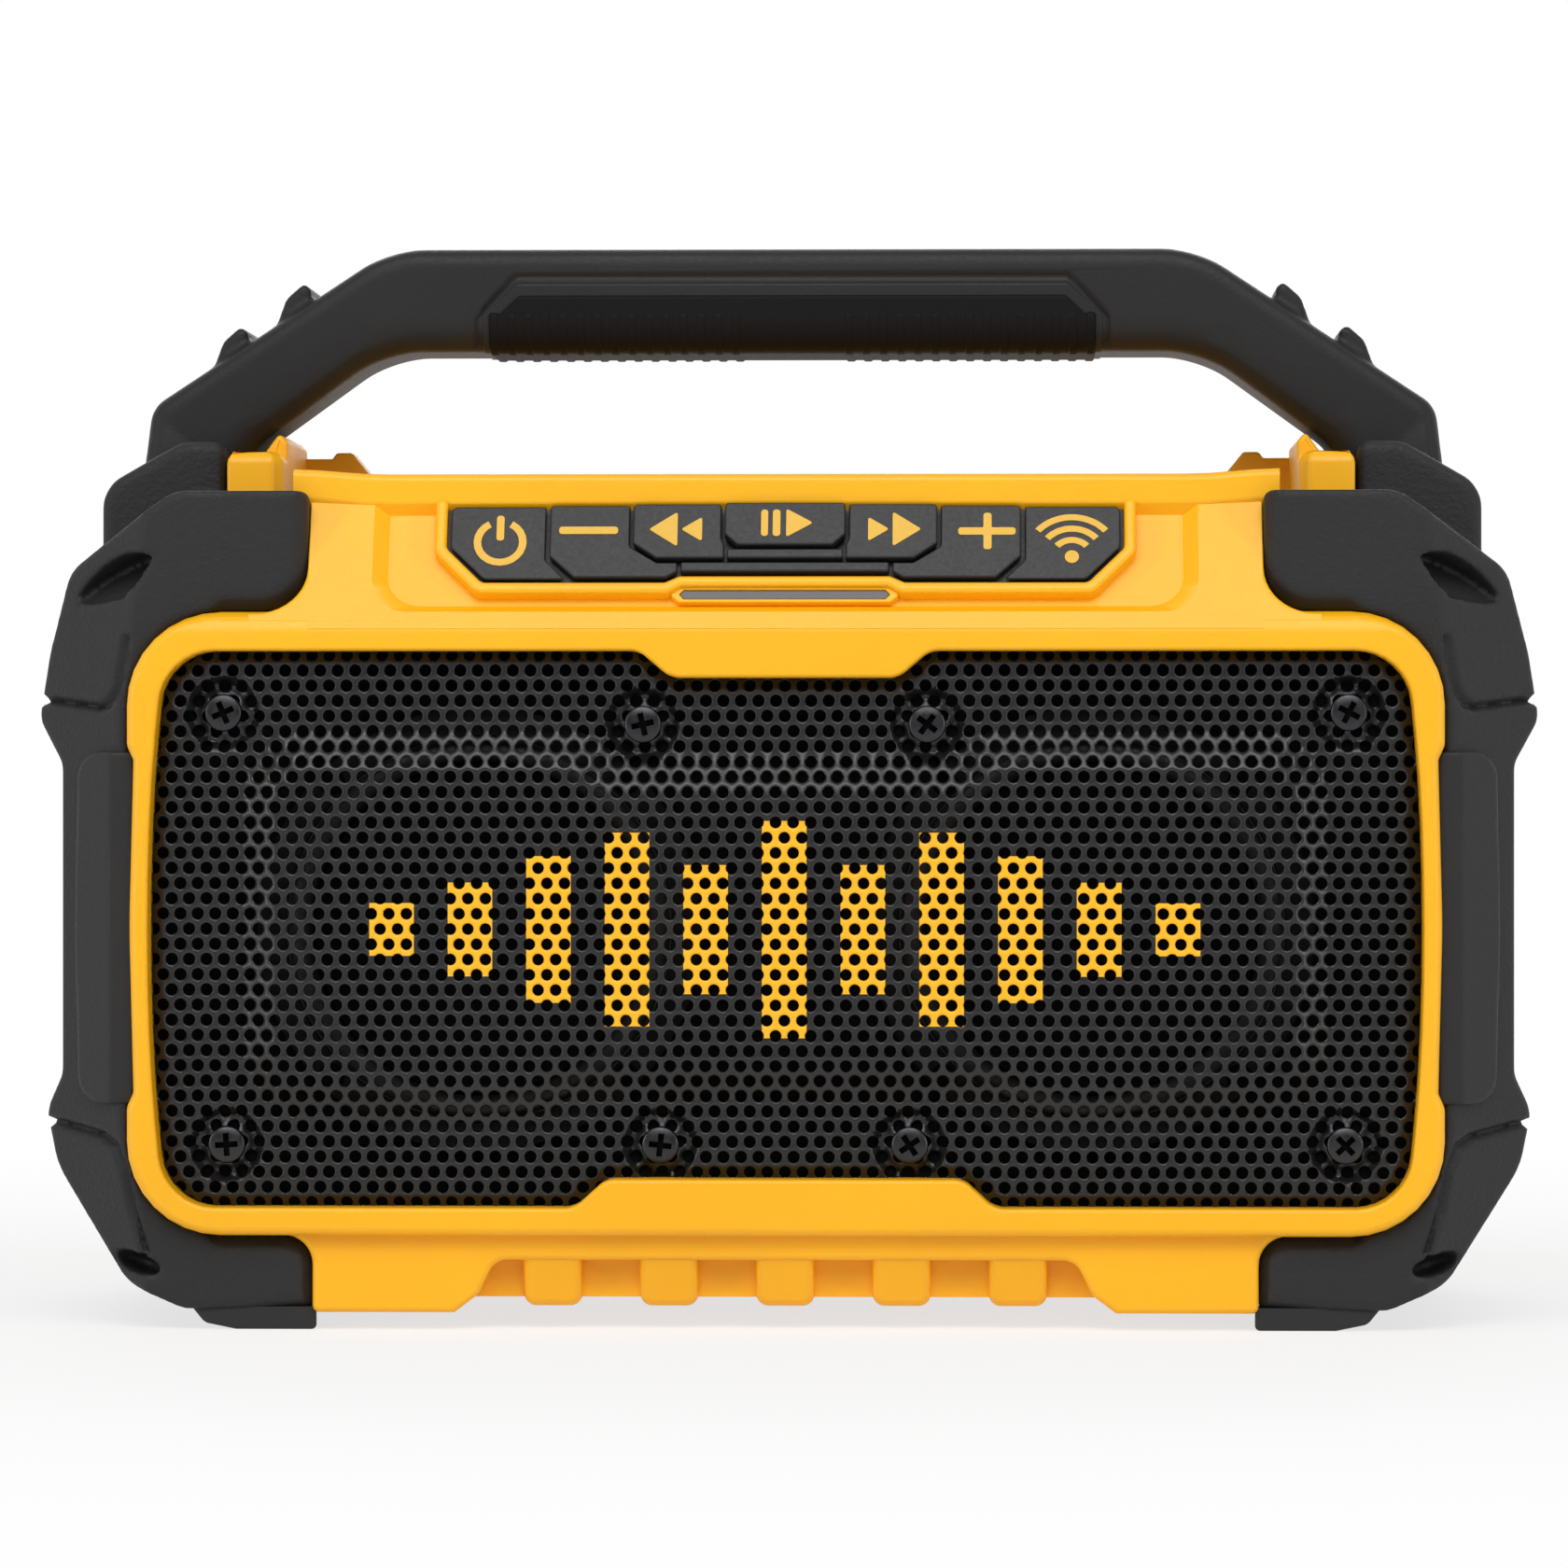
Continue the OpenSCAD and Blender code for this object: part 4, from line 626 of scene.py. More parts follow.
def panHead(radius, high):
    bm = bmesh.new()
    verts = [bm.verts.new((radius * r, 0, high * h)) for r, h in panProfile]
    edges = [bm.edges.new(pair) for pair in zip(verts, verts[1:])]
    bmesh.ops.spin(bm, geom=verts + edges, cent=(0, 0, 0), axis=(0, 0, 1), angle=math.tau, steps=28, use_merge=True)
    bmesh.ops.remove_doubles(bm, verts=bm.verts[:], dist=weld)
    bmesh.ops.holes_fill(bm, edges=[e for e in bm.edges if e.is_boundary])
    bmesh.ops.recalc_face_normals(bm, faces=bm.faces[:])
    return bm


wide, reach, deep = screwSet["slotWide"] / 2, screwSet["slotLong"] / 2, screwSet["high"] - screwSet["slotDeep"]
cross = [box((-u, -v, deep), (u, v, 3)) for u, v in ((reach, wide), (wide, reach))]
head = carve(panHead(screwSet["round"], screwSet["high"]), cross)
heads = []
for number, (x, z) in enumerate(screwPlaces):
    turned = Matrix.Rotation(screwSet["turn"] + screwSet["turnStep"] * number, 4, "Z")
    heads.append(place(head.copy(), Matrix.Translation((x, z, screwSet["seat"])) @ turned))
heads = join(heads)
# the walls and floor of each cross recess take the near-black material: painted shade in the recess
for face in heads.faces:
    height = face.calc_center_median().z - screwSet["seat"]
    inWall = abs(face.normal.z) < 0.05 and height > screwSet["recessFrom"]
    face.material_index = int(inWall or (face.normal.z > 0.99 and height < screwSet["recessFloor"]))
screws = addPiece("grilleScrews", heads, screwBlack, ["grille_screws"], turn=faceFront)
screws.data.materials.append(insideBlack)

# keypad on the fascia: rim, trim plate, ledges, status lens in its frame, seven caps with their signs
rimSet = {"low": -2.0, "top": 1.0, "edge": 0.8}
rimCorners = [(57.95, 24.4, 0), (57.95, 15.2, 1.5), (51.75, 8.55, 1.5), (20.5, 8.55, 1), (18, 9.75, 1), (0, 9.75, 0),
              (0, 7.85, 0), (17.6, 7.85, 0.6), (20, 6.5, 1), (52.7, 6.5, 2.5), (60, 14.4, 2.5), (60, 24.4, 0)]
housingPiece("keyRim", mirrorHalf(raised(rimCorners, keep=beside, **rimSet)), faceFascia)

trimSet = {"low": -2.0, "high": -0.85}
trimCorners = [(0, 25.6, 0), (57.8, 25.6, 0), (57.8, 15.2, 1.5), (51.6, 8.7, 1.5), (20.5, 8.7, 1), (18, 9.9, 1),
               (0, 9.9, 0)]
# the trim shows in the gaps between the caps; its darker colour is painted shade there
trim = mirrorHalf(prism(trimCorners, **trimSet))
addPiece("keypadTrim", trim, trimPlastic, ["keypad_trim"], turn=faceFascia)

ledgeSet = {"low": -1.0, "edge": 0.35}
volumeLedge = [(-17.8, 10.5, 0.5), (17.8, 10.5, 0.5), (17.8, 12.3, 0.4), (-17.8, 12.3, 0.4)]
trackLedge = rect((-9.9, 12.85), (9.9, 14.6), 0.4)
ledges = join([raised(volumeLedge, top=1.0, **ledgeSet), raised(trackLedge, top=1.5, **ledgeSet)])
addPiece("keyLedges", ledges, keyPlastic, ["keypad_trim"], turn=faceFascia)

lensSet = {"low": -2.0, "top": -0.55, "edge": 0.2}
lensCorners = [(-17.2, 7.6, 0.2), (17.2, 7.6, 0.2), (18, 6.7, 0.2), (17.2, 5.8, 0.2), (-17.2, 5.8, 0.2),
               (-18, 6.7, 0.2)]
addPiece("statusLens", raised(lensCorners, **lensSet), lensSmoke, ["status_lens"], turn=faceFascia)
frameSet = {"low": -2.0, "top": -0.3, "edge": 0.25}
frameCorners = [(0, 8.1, 0), (18.1, 8.1, 0.4), (19.6, 6.7, 0.5), (18.1, 5.2, 0.4), (0, 5.2, 0), (0, 5.8, 0),
                (17.2, 5.8, 0.2), (18, 6.7, 0.2), (17.2, 7.6, 0.2), (0, 7.6, 0)]
lensFrame = mirrorHalf(raised(frameCorners, keep=beside, **frameSet))
addPiece("lensFrame", lensFrame, housingYellow, turn=faceFascia)

# outlines of the caps with their height above the fascia, drawn for the right-hand side
keySet = {"low": 0.05, "edge": 0.35}
keyShapes = {
    "power": ([(57.3, 23.2, 1.2), (57.3, 15.4, 1.2), (51.4, 9.2, 1.2), (37.3, 9.2, 0.4), (41.0, 12.9, 0.8),
               (41.0, 23.2, 0.4)], 0.5),
    "volume": ([(40.3, 23.2, 0.6), (40.3, 13.5, 0.8), (36.0, 9.35, 0.8), (20.3, 9.35, 0.6), (18.4, 10.5, 0.5),
                (18.4, 12.2, 0.4), (21.9, 12.2, 0.6), (26.6, 15.3, 0.8), (26.6, 23.2, 0.4)], 1.0),
    "track": ([(26.0, 23.2, 0.6), (26.0, 15.7, 0.8), (22.0, 12.85, 0.8), (10.4, 12.85, 0.4), (10.4, 15.3, 0.4),
               (10.9, 16.6, 0.4), (10.9, 23.2, 0.4)], 1.5),
    "play": ([(10.3, 23.2, 0.6), (10.3, 17.2, 0.8), (8.1, 15.1, 0.8), (-8.1, 15.1, 0.8), (-10.3, 17.2, 0.8),
              (-10.3, 23.2, 0.6)], 2.1),
}
keyBodies = {"key_power": ("power", toLeft), "key_volume_down": ("volume", toLeft), "key_previous": ("track", toLeft),
             "key_play": ("play", facePlan), "key_next": ("track", facePlan), "key_volume_up": ("volume", facePlan),
             "key_pairing": ("power", facePlan)}


# the signs are drawn one unit thick
def inked(corners):
    return prism(corners, 0, 1)


def bar(low, high):
    return inked(rect(low, high, 0.55))


def arrow(tip, back, low, high):
    return inked([(back, low, 0.3), (tip, (low + high) / 2, 0.3), (back, high, 0.3)])


def skip():
    return [arrow(23.3, 18.4, 14.9, 21.6), arrow(17.8, 14.2, 15.9, 20.6)]


def arcBand(cx, cy, radius, wide, start, sweep):
    bm = bmesh.new()
    reach = (radius - wide / 2, radius + wide / 2)
    turn = math.radians(start)
    verts = [bm.verts.new((cx + r * math.cos(turn), cy + r * math.sin(turn), 0)) for r in reach]
    edge = bm.edges.new(verts)
    bmesh.ops.spin(bm, geom=verts + [edge], cent=(cx, cy, 0), axis=(0, 0, 1), angle=math.radians(sweep), steps=20)
    raiseBy(bm, 1)
    bmesh.ops.recalc_face_normals(bm, faces=bm.faces[:])
    return bm


signSet = {"deep": 0.3, "thick": 0.42}
plusCorners = [(29.6, 17.4, 0.5), (33.9, 17.4, 0.2), (33.9, 14.6, 0.5), (35.3, 14.6, 0.5), (35.3, 17.4, 0.2),
               (39.4, 17.4, 0.5), (39.4, 18.8, 0.5), (35.3, 18.8, 0.2), (35.3, 21.6, 0.5), (33.9, 21.6, 0.5),
               (33.9, 18.8, 0.2), (29.6, 18.8, 0.5)]
signs = {
    "key_power": [arcBand(-48.8, 16.3, 3.9, 1.3, 118, 304), bar((-49.45, 16.6), (-48.15, 21.4))],
    "key_volume_down": [bar((-38.7, 17.6), (-28.6, 19.0))],
    "key_previous": [place(sign, toLeft) for sign in skip()],
    "key_play": [bar((-4.1, 16.6), (-2.9, 21.7)), bar((-2.1, 16.6), (-0.8, 21.7)), arrow(4.8, 0.2, 16.4, 21.9)],
    "key_next": skip(),
    "key_volume_up": [inked(plusCorners)],
    "key_pairing": [arcBand(49.0, 13.2, radius, 1.15, 42, 96) for radius in (3.4, 5.6, 7.8)]
    + [arcBand(49.0, 13.4, 0.62, 1.2, 0, 360)],
}
for body, (shape, side) in keyBodies.items():
    corners, high = keyShapes[shape]
    cap = place(raised(corners, top=high, **keySet), side)
    addPiece(camel(body), cap, keyPlastic, [body], body, faceFascia)
    sign = join(signs[body])
    lift = Matrix.Translation((0, 0, high - signSet["deep"])) @ Matrix.Scale(signSet["thick"], 4, (0, 0, 1))
    bmesh.ops.transform(sign, matrix=lift, verts=sign.verts[:])
    addPiece(camel(body) + "Sign", sign, iconYellow, (), body, faceFascia)
print("keypad done")

# corner bumpers: cut blocks melted into one soft moulding, with grooves pressed in along their facets
plateSet = {"low": 0.1, "edge": 2.3, "segments": 1, "steps": 8}
archSet = {"low": 0.1, "top": 26, "edge": 1.6, "steps": 8}
bumperMould = {"voxel": 0.6, "passes": 5, "keep": 0.35, "half": 1.0, "deep": 1.4}
bumperCorners = [(81.75, 143.5, 1.5), (104.5, 143.5, 6), (123.9, 130.1, 6), (127.7, 115.8, 8), (129.5, 104.5, 4),
                 (125, 96.8, 3), (125, 43.4, 3), (128.1, 37, 5), (126.2, 27.5, 12), (113, 7.9, 8), (103, 3.55, 4),
                 (80.9, 3.55, 1.0), (80.9, 16.15, 5), (112.45, 16.15, 16.15), (112.45, 122.85, 16.15),
                 (81.75, 122.85, 8)]
archCorners = [(99.3, 153.5, 2), (107, 153.5, 6), (121, 145.5, 6), (121, 126, 0), (99.3, 126, 0)]
creases = [((114.1, 106), (109.4, 139.8)), ((114.1, 37), (114.1, 106)), ((110.4, 14.3), (114.1, 37))]
upperGroove = [(135, 108.0), (126.7, 107.7), (117.9, 106.5), (116.1, 107.1), (114.5, 109.6), (113.8, 113.5),
               (113.0, 118.1)]
lowerGroove = [(135, 35.4), (125.7, 34.8), (117.4, 33.0), (114.8, 31.3), (113.1, 26.9), (111.7, 20.2), (109.4, 13.2)]
pocketSet = {"ledge": 124.2, "ledgeDeep": 1.0, "slope": 0.95, "across": 117.5, "sunk": 6.2, "turn": 45}
pocketCorners = [(-10.75, 132.6, 0.6), (-8.6, 127.6, 1), (-5.5, 125.2, 1), (3, 124.2, 0), (7.2, 124.6, 0.8),
                 (6.8, 126.2, 0), (4.6, 128.2, 0), (2.1, 129.9, 0), (-1.2, 131.6, 0), (-4.2, 132.6, 0), (-7, 132.9, 0)]
toeSet = {"reach": (5.0, 1.7, 5.5), "across": 111.2, "up": 11.4, "sunk": 2.5, "turn": 17}


# a large block whose inner face holds the crease from one point to another and runs back at 45 degrees
def creaseCutter(low, high, face):
    low, high = Vector((*low, face)), Vector((*high, face))
    along = (high - low).normalized()
    back = Vector((1, 0, -1)).normalized()
    out = along.cross(back).normalized()
    if out.x < 0:
        out.negate()
    turn = Matrix((along, back, out)).transposed().to_4x4()
    return place(box((-160, -90, 0), (160, 90, 60)), Matrix.Translation(low) @ turn)


# pocket under the shoulder: deep below its overhang, shallow at the ledge
def pocketCutter(face):
    bm = prism(pocketCorners, -6.0, 8.0)
    for v in bm.verts:
        if v.co.z < 0:
            v.co.z = -pocketSet["ledgeDeep"] - (v.co.y - pocketSet["ledge"]) * pocketSet["slope"]
    turn = Matrix.Rotation(math.radians(pocketSet["turn"]), 4, "Y")
    return place(bm, Matrix.Translation((pocketSet["across"], 0, face - pocketSet["sunk"])) @ turn)


def toePocket(face):
    bm = bmesh.new()
    bmesh.ops.create_uvsphere(bm, u_segments=24, v_segments=12, radius=1.0)
    bmesh.ops.scale(bm, verts=bm.verts[:], vec=toeSet["reach"])
    turn = Matrix.Rotation(math.radians(toeSet["turn"]), 4, "Z")
    return place(bm, Matrix.Translation((toeSet["across"], toeSet["up"], face - toeSet["sunk"])) @ turn)


def cornerBumper(face):
    plate = raised(bumperCorners, top=face, keep=lambda m: m.x < 98 and m.y < 143.4, **plateSet)
    cutters = [creaseCutter(low, high, face) for low, high in creases]
    plate = carve(plate, cutters + [pocketCutter(face), toePocket(face)])
    arch = raised(archCorners, keep=lambda m: m.y > 127, **archSet)
    return mould(join([plate, arch]), lines=(upperGroove, lowerGroove), **bumperMould)


for end, face, turn in (("front", 61.0, facePlan), ("rear", 65.0, toRear)):
    right = cornerBumper(face)
    left = right.copy()
    for side, bumper, flip in (("right", right, facePlan), ("left", left, toLeft)):
        name = end + "_bumper_" + side
        addPiece(camel(name), bumper, bumperRubber, [name], turn=flip @ turn @ faceFront, sharp=80)

padSet = {"thick": 8.0, "front": 61.6, "rear": 64.4, "crease": ((115.6, 30), (115.6, 110))}
padMould = {"voxel": 0.5, "passes": 5, "keep": 0.3}
padCorners = [(111.25, 98.9, 1.2), (121.7, 98.9, 4.5), (122.3, 68, 80), (121.5, 38.6, 4.5), (111.25, 38.6, 1.2)]
for name, turn in (("side_pad_right", facePlan), ("side_pad_left", toLeft)):
    pads = []
    for face, lie in ((padSet["front"], faceFront), (padSet["rear"], toRear @ faceFront)):
        pad = carve(prism(padCorners, face - padSet["thick"], face), [creaseCutter(*padSet["crease"], face)])
        pads.append(place(mould(pad, **padMould), turn @ lie))
    addPiece(camel(name), join(pads), padRubber, [name], sharp=80)

# side panels with a field of grooves
sideSet = {"low": 121.2, "top": 125.4, "edge": 1.6}
grooveSet = {"steps": range(8), "from": 51.5, "pitch": 5.0, "wide": 1.7, "half": 30, "floor": 124.4, "above": 126}
for name, turn in (("side_panel_right", facePlan), ("side_panel_left", toLeft)):
    grooves = []
    for step in grooveSet["steps"]:
        foot = grooveSet["from"] + step * grooveSet["pitch"]
        grooves.append(box((-grooveSet["half"], foot, grooveSet["floor"]),
                           (grooveSet["half"], foot + grooveSet["wide"], grooveSet["above"])))
    panel = carve(raised(rect((-38, 46), (38, 94), 5), **sideSet), grooves)
    addPiece(camel(name), panel, padRubber, [name], turn=turn @ faceSide, edge=0.35)

# feet, which narrow towards their back
footSet = {"low": 30.0, "top": 60.0, "edge": 0.7}
footTaper = 3.6
feet = []
for mirrorTo, inner in ((facePlan, 80.2), (toLeft, 80.2), (toRear, 90.6), (toLeft @ toRear, 90.6)):
    corners = [(inner, 3.9, 0), (inner, 0, 0.9), (94, 0, 2), (99.4, 1.1, 2), (101.7, 3.9, 0)]
    foot = raised(corners, keep=lambda m: m.y < 3.8, **footSet)
    heel = [v for v in foot.verts if v.co.z < 31 and v.co.x < 90]
    bmesh.ops.translate(foot, verts=heel, vec=(footTaper, 0, 0))
    feet.append(place(foot, mirrorTo @ faceFront))
addPiece("rubberFeet", join(feet), padRubber, ["feet"])
print("bumpers and pads done")

# carrying handle with its cord hooks and the line pressed in round the grip
handleSet = {"half": 15.0, "topRound": 2.6, "lowRound": 5.0, "flare": 1.2}
handleMould = {"voxel": 0.6, "passes": 3, "keep": 0.3, "half": 0.9, "deep": 0.8, "facing": 0.5}
handleCorners = [(0, 188, 0), (71.3, 188, 20), (113.6, 160.1, 5), (116.2, 137.2, 0), (96.8, 137.2, 0),
                 (96.8, 152.2, 8), (72.3, 169.9, 20), (0, 169.9, 0)]
hookSet = {"half": 12.0, "shift": (-11.2, 7.6), "round": 0.4}
hookCorners = [(103.2, 164.2, 0), (102.5, 167.9, 1), (101.1, 171.8, 2.2), (98.0, 174.5, 0.8), (96.5, 173.4, 0.5),
               (97.2, 171.2, 0), (97.9, 169.4, 0), (98.8, 164.2, 0)]
gripLine = [(-55.6, 166), (-55.6, 175.6), (-48.9, 182.8), (48.9, 182.8), (55.6, 175.6), (55.6, 166)]


def aboveFoot(m):
    return beside(m) and m.y > 137.3


def upperSide(m):
    return aboveFoot(m) and (m.y > 178.5 - max(0, m.x - 66) * 0.66 or m.x > 106)


handle = prism(handleCorners, -handleSet["half"], handleSet["half"], 10)
for level in (-handleSet["half"], handleSet["half"]):
    soften(handle, handleSet["lowRound"], atLevel(level, lambda m: aboveFoot(m) and not upperSide(m)), 5)
    soften(handle, handleSet["topRound"], atLevel(level, upperSide))
bmesh.ops.scale(handle, verts=[v for v in handle.verts if v.co.y < 138], vec=(1, 1, handleSet["flare"]))
hooks = []
for step in range(2):
    across, up = hookSet["shift"]
    corners = [(u + step * across, v + step * up, radius) for u, v, radius in hookCorners]
    hook = prism(corners, -hookSet["half"], hookSet["half"], 4)
    hooks.append(soften(hook, hookSet["round"], lambda m, d: lying(d) and abs(abs(m.z) - hookSet["half"]) < same, 2))
hooks += [place(hook.copy(), toLeft) for hook in hooks]
handle = mould(join([mirrorHalf(handle)] + hooks), lines=[gripLine], **handleMould)
addPiece("handleCore", handle, handlePlastic, ["handle_core"], turn=faceFront, sharp=80)

# grip under the bar: frame, pad and ribs, each with a section of (depth, low, top, lower radius)
gripSet = {"frame": (15.45, 169.7, 182, 5.4), "frameHalf": 54.8, "frameTopHalf": 48.5, "edge": 0.3,
           "pad": (15.9, 169.55, 179.7, 5.6), "padHalf": 52.6, "padTopHalf": 48.2, "slant": (0.73, 0.68)}
ribSet = {"section": (16.05, 169.3, 176.6, 5.8), "steps": range(15), "from": 10.0, "pitch": 3.05, "half": 0.95,
          "round": 0.45}


def gripSection(depth, low, top, radius):
    return [(-depth, top, 0.7), (-depth, low, radius), (depth, low, radius), (depth, top, 0.7)]


# a bar whose upper corners are cut off at a slant
def slantedBar(section, half, topHalf):
    bm = prism(gripSection(*section), -half, half, 8)
    up, out = gripSet["slant"]
    for side in (-1, 1):
        cut = bmesh.ops.bisect_plane(bm, geom=allOf(bm), plane_co=(0, section[2], topHalf * side),
                                     plane_no=(0, up, out * side), clear_outer=True)["geom_cut"]
        bmesh.ops.edgeloop_fill(bm, edges=edgesIn(cut))
    return place(bm, faceSide)


gripFrame = slantedBar(gripSet["frame"], gripSet["frameHalf"], gripSet["frameTopHalf"])
addPiece("gripFrame", gripFrame, handlePlastic, ["handle_grip"], edge=gripSet["edge"])
gripParts = [slantedBar(gripSet["pad"], gripSet["padHalf"], gripSet["padTopHalf"])]
for step in ribSet["steps"]:
    for side in (-1, 1):
        middle = (ribSet["from"] + step * ribSet["pitch"]) * side
        rib = prism(gripSection(*ribSet["section"]), middle - ribSet["half"], middle + ribSet["half"])
        gripParts.append(place(soften(rib, ribSet["round"], lambda m, d: lying(d), 2), faceSide))
addPiece("handleGrip", join(gripParts), gripRubber, ["handle_grip"], edge=gripSet["edge"])
print("handle done")

# back: panel with the bay and port openings and a field of shallow ledges, flanges above and below it
panelSet = {"low": 55.0, "top": 63.0, "edge": 2.0, "segments": 4, "steps": 8}
through = {"low": 40, "high": 80}
boreSet = {"radius": 4.2, "length": 60}
ledgeRows = {"steps": range(7), "from": 40, "pitch": 9.0, "high": 4, "left": 50, "right": 104}
ledgeCut = {"low": 62.2, "high": 70}
bayOpening = [(-46.2, 32.8, 3), (46.2, 32.8, 3), (46.2, 130, 0), (-46.2, 130, 0)]
cutters = [prism(bayOpening, **through), prism(rect((-98, 96), (-60, 72), 2), **through)]
for x in (-100, 100):
    for z in (29, 110):
        cutters.append(place(rod(**boreSet), Matrix.Translation((x, z, 60))))
for step in ledgeRows["steps"]:
    low = ledgeRows["from"] + step * ledgeRows["pitch"]
    ledge = rect((ledgeRows["left"], low), (ledgeRows["right"], low + ledgeRows["high"]), 2)
    cutters.append(prism(ledge, **ledgeCut))
panel = carve(raised(rect((-112.3, 122.7), (112.3, 16.3), 16), **panelSet), cutters)
housingPiece("backPanel", panel, faceBack, "back_panel", 0.6)
flange = [box((46.3, 118, 54), (81.2, 140.4, 56.8)), box((-81.2, 118, 54), (-46.3, 140.4, 56.8)),
          box((-80.4, 5, 54), (80.4, 20, 56.8))]
housingPiece("backFlange", join(flange), faceBack, "back_panel", 0.4)

# the port tray lines its opening a little inside it, and its floor is open behind the sockets
traySet = {"back": 51, "floor": 53, "front": 60}
lining = prism(rect((-97.85, 95.85), (-60.15, 72.15), 2), traySet["floor"], through["high"])
behindSockets = prism(rect((-95, 93), (-63, 77), 1), through["low"], traySet["front"])
tray = prism(rect((-100, 98), (-58, 70), 2), traySet["back"], traySet["front"])
housingPiece("portTray", carve(tray, [lining, behindSockets]), faceBack, "port_tray", 0.4)

# battery bay: lower and upper walls, floor, rails and catch bars
lowerWalls = [(0, 24, 0), (46, 24, 1.5), (46, 63, 1), (43, 63, 1), (43, 27, 2), (0, 27, 0)]
upperWalls = [(0, 24, 0), (46, 24, 0), (46, 57, 0), (43, 57, 0), (43, 27, 2), (0, 27, 0)]
bayFloor = [(-45.9, 24.1, 0), (45.9, 24.1, 0), (45.9, 63, 1), (-45.9, 63, 1)]
bayParts = [mirrorHalf(prism(lowerWalls, low=33, high=122.6)), mirrorHalf(prism(upperWalls, low=122, high=142)),
            prism(bayFloor, low=33, high=36)]
rails = [box((-43.2, 36, 60), (-39, 41, 134)), box((39, 36, 60), (43.2, 41, 134))]
catches = [box((-20, 26.8, 60), (20, 28.2, 63)), box((-20, 26.8, 108), (20, 28.2, 111))]
addPiece("batteryBay", join(bayParts + rails + catches), trimPlastic, ["battery_bay"], edge=0.6)

# port cover: flap, hinge barrel, pull and six moulded bars
coverSet = {"low": 60.0, "top": 62.8, "edge": 0.8}
barrelSet = {"radius": 2.1, "length": 34}
pullSet = {"low": 62, "top": 64, "edge": 0.5}
coverBars = {"low": 62, "top": 63.3, "edge": 0.3}
coverCorners = [(-97.6, 95.6, 2), (-60.4, 95.6, 2), (-60.4, 74.6, 0.4), (-97.6, 74.6, 0.4)]
hinge = Matrix.Translation((-79, 74.6, 61.2)) @ Matrix.Rotation(math.radians(90), 4, "Y")
coverParts = [raised(coverCorners, **coverSet), place(rod(**barrelSet), hinge),
              raised(rect((-85, 94), (-73, 92), 0.8), **pullSet)]
for left in range(-90, -66, 4):
    coverParts.append(raised(rect((left, 80), (left + 1.6, 88), 0.6), **coverBars))
addPiece("portCover", join(coverParts), bumperRubber, ["port_cover"], "port_cover", faceBack)
print("back done")

# camera at the photograph's place: level, a little to the right of the middle
view = {"away": 1.365, "aside": 0.037, "height": 0.0933, "front": -0.065, "lens": 175.5, "sensor": 36.0}


def linkAimed(name, data, spot, aim):
    made = bpy.data.objects.new(name, data)
    made.location = spot
    made.rotation_mode = "QUATERNION"
    made.rotation_quaternion = (Vector(aim) - Vector(spot)).to_track_quat("-Z", "Y")
    bpy.context.scene.collection.objects.link(made)
    return made


camera = bpy.data.cameras.new("camera")
camera.lens = view["lens"]
camera.sensor_width = view["sensor"]
eye = (view["aside"], -view["away"], view["height"])
bpy.context.scene.camera = linkAimed("camera", camera, eye, (0, view["front"], view["height"]))


def softbox(name, spot, size, power, aim=(0, 0, 0.08)):
    lamp = bpy.data.lights.new(name, "AREA")
    lamp.shape = "RECTANGLE"
    lamp.size, lamp.size_y = size
    lamp.energy = power
    linkAimed(name, lamp, spot, aim)


softbox("topBox", (0, -0.95, 1.15), (1.5, 0.6), 8.6)
softbox("frontBox", (0, -1.9, 1.4), (1.6, 1.0), 14.0)
softbox("leftStrip", (-0.98, -0.6, 0.12), (0.14, 0.9), 3.8)
softbox("rightStrip", (0.98, -0.6, 0.12), (0.14, 0.9), 3.2)
softbox("backBox", (0, 1.2, 0.8), (1.2, 0.8), 6.0)
print("camera and lights done")


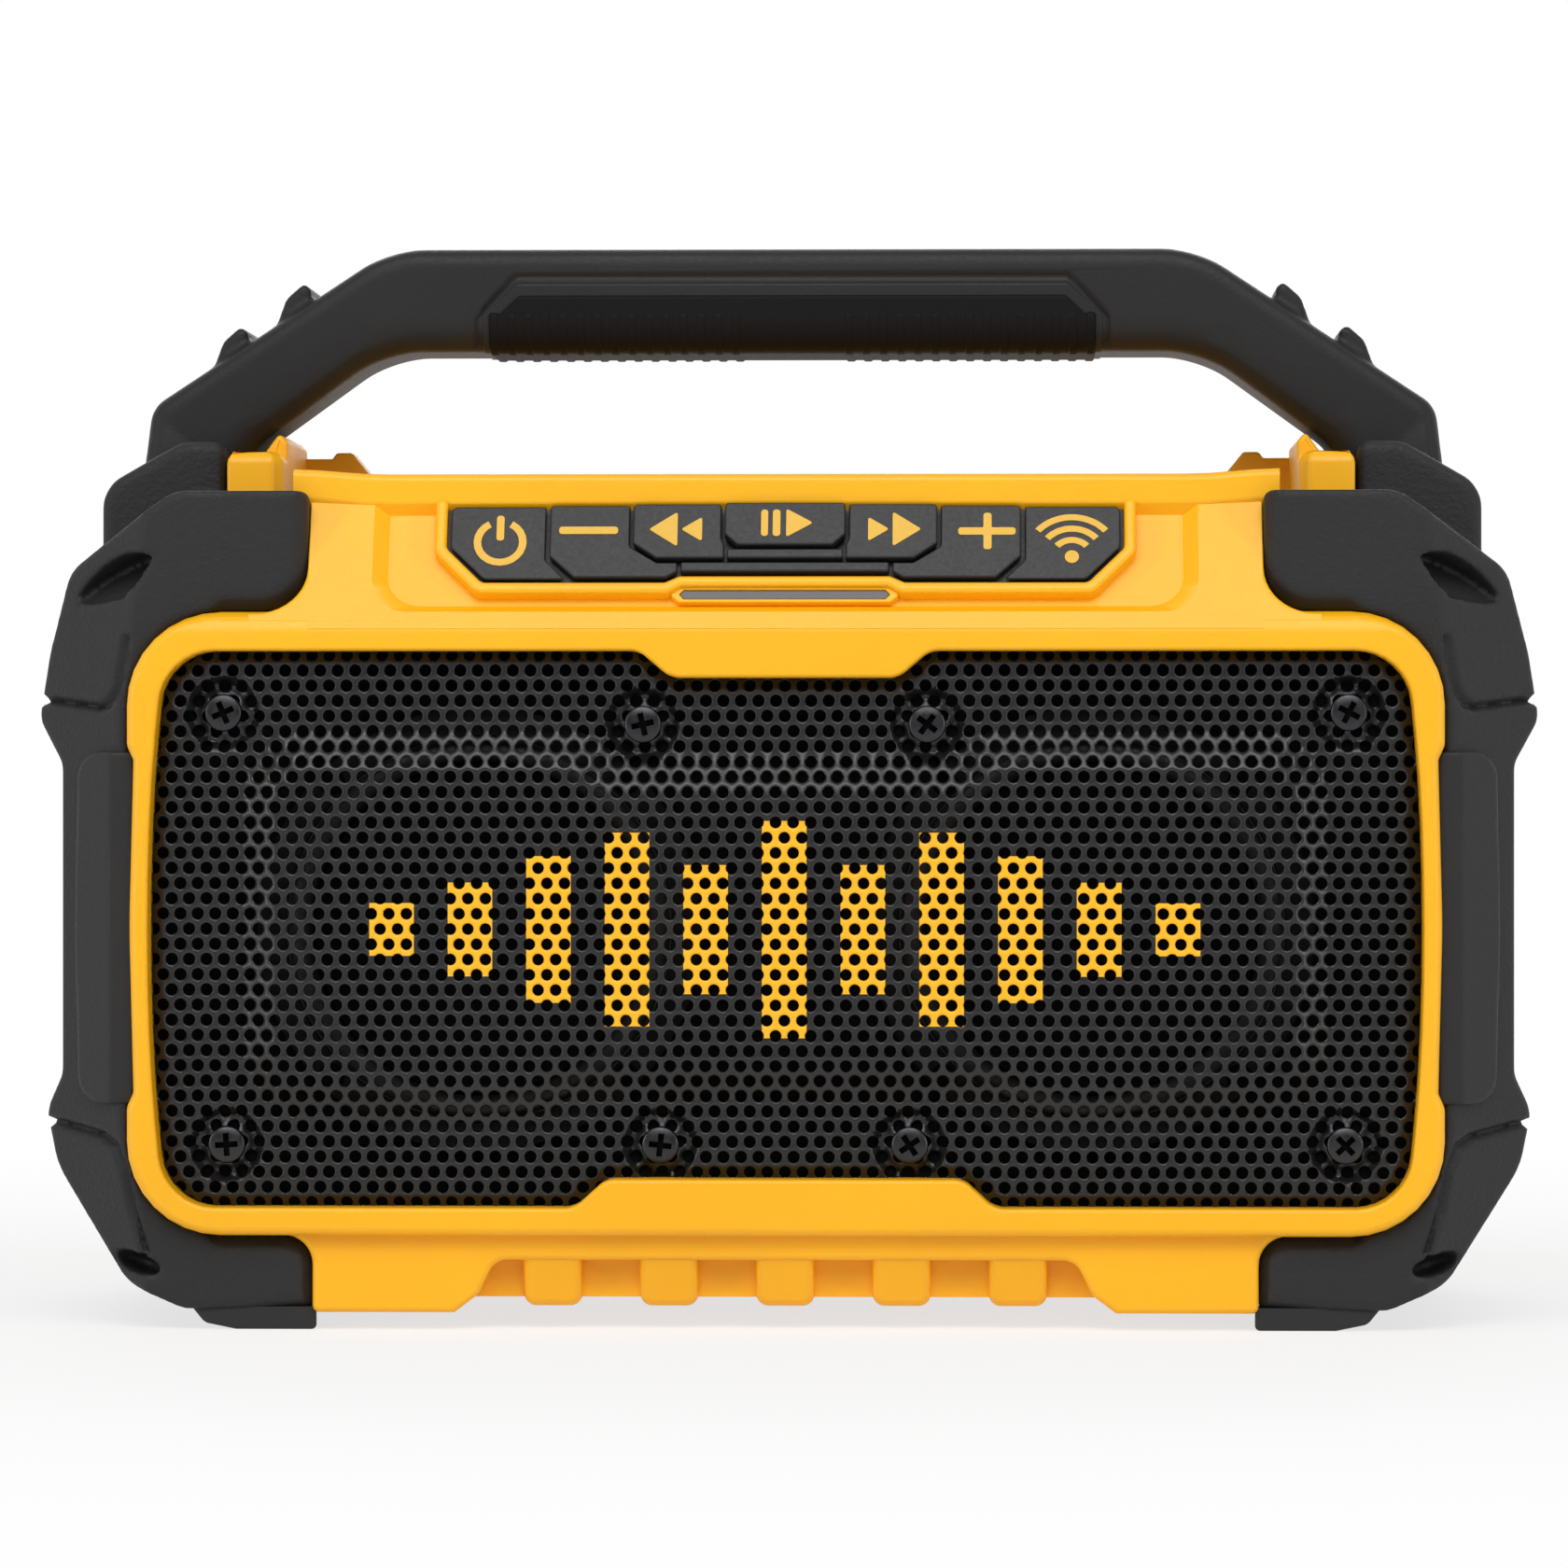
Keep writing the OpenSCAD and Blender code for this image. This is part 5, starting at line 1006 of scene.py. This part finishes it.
# the camera's own rays, and those that it sees in a reflection or through something
def seenRays(tree):
    rays = tree.nodes.new("ShaderNodeLightPath")
    kinds = ("Camera", "Glossy", "Transmission")
    direct, mirrored, through = [Wire(tree, rays.outputs["Is " + kind + " Ray"]) for kind in kinds]
    return direct, direct.maths("MAXIMUM", mirrored, through)


# white for the camera and behind the speaker, a dim room behind the camera
studio = {"fill": 0.25, "fade": (-0.2, 0.2), "shadowNear": 0.72, "shadowFade": (0.2, 0.6), "floorRound": 1.1}
world = bpy.data.worlds.new("studio")
bpy.context.scene.world = world
world.use_nodes = True
worldTree = world.node_tree
sky = worldTree.nodes["Background"]
sky.inputs["Color"].default_value = (1, 1, 1, 1)
facing = Wire(worldTree, worldTree.nodes.new("ShaderNodeTexCoord").outputs["Generated"]).axis(1)
backdrop = facing.spread(*studio["fade"], 0.0, 1.0)
direct, indirect = seenRays(worldTree)
strength = direct.maths("MAXIMUM", direct, indirect * backdrop) * (1 - studio["fill"]) + studio["fill"]
worldTree.links.new(strength.socket, sky.inputs["Strength"])


def paleFloor(at):
    return {"Base_Color": at.noise(3.0).tint((0.93, 0.93, 0.93, 1), (0.95, 0.95, 0.95, 1))}


# the floor fades into the white behind it, and keeps the shadow near the speaker
floorPaint = newMaterial("floorPaint", paleFloor, Roughness=0.9)
floorTree = floorPaint.node_tree
at = Wire(floorTree, floorTree.nodes["Texture Coordinate"].outputs["Object"])
away = at.node("VectorMath", {"operation": "LENGTH"}, pick=1, i0=at)
direct, indirect = seenRays(floorTree)
veil = direct.maths("MAXIMUM", direct, indirect) * away.spread(*studio["shadowFade"], studio["shadowNear"], 1.0)
glow = at.node("Emission", Color=(1, 1, 1, 1), Strength=1.0)
lit = Wire(floorTree, floorTree.nodes["Principled BSDF"].outputs[0])
shown = at.node("MixShader", i0=veil, i1=lit, i2=glow)
floorTree.links.new(shown.socket, floorTree.nodes["Material Output"].inputs["Surface"])
floorMesh = bmesh.new()
bmesh.ops.create_circle(floorMesh, cap_ends=True, segments=96, radius=studio["floorRound"])
floor = newObject("floor", floorMesh)
floor.data.materials.append(floorPaint)
print("studio done")

bpy.context.scene.view_settings.view_transform = "Standard"
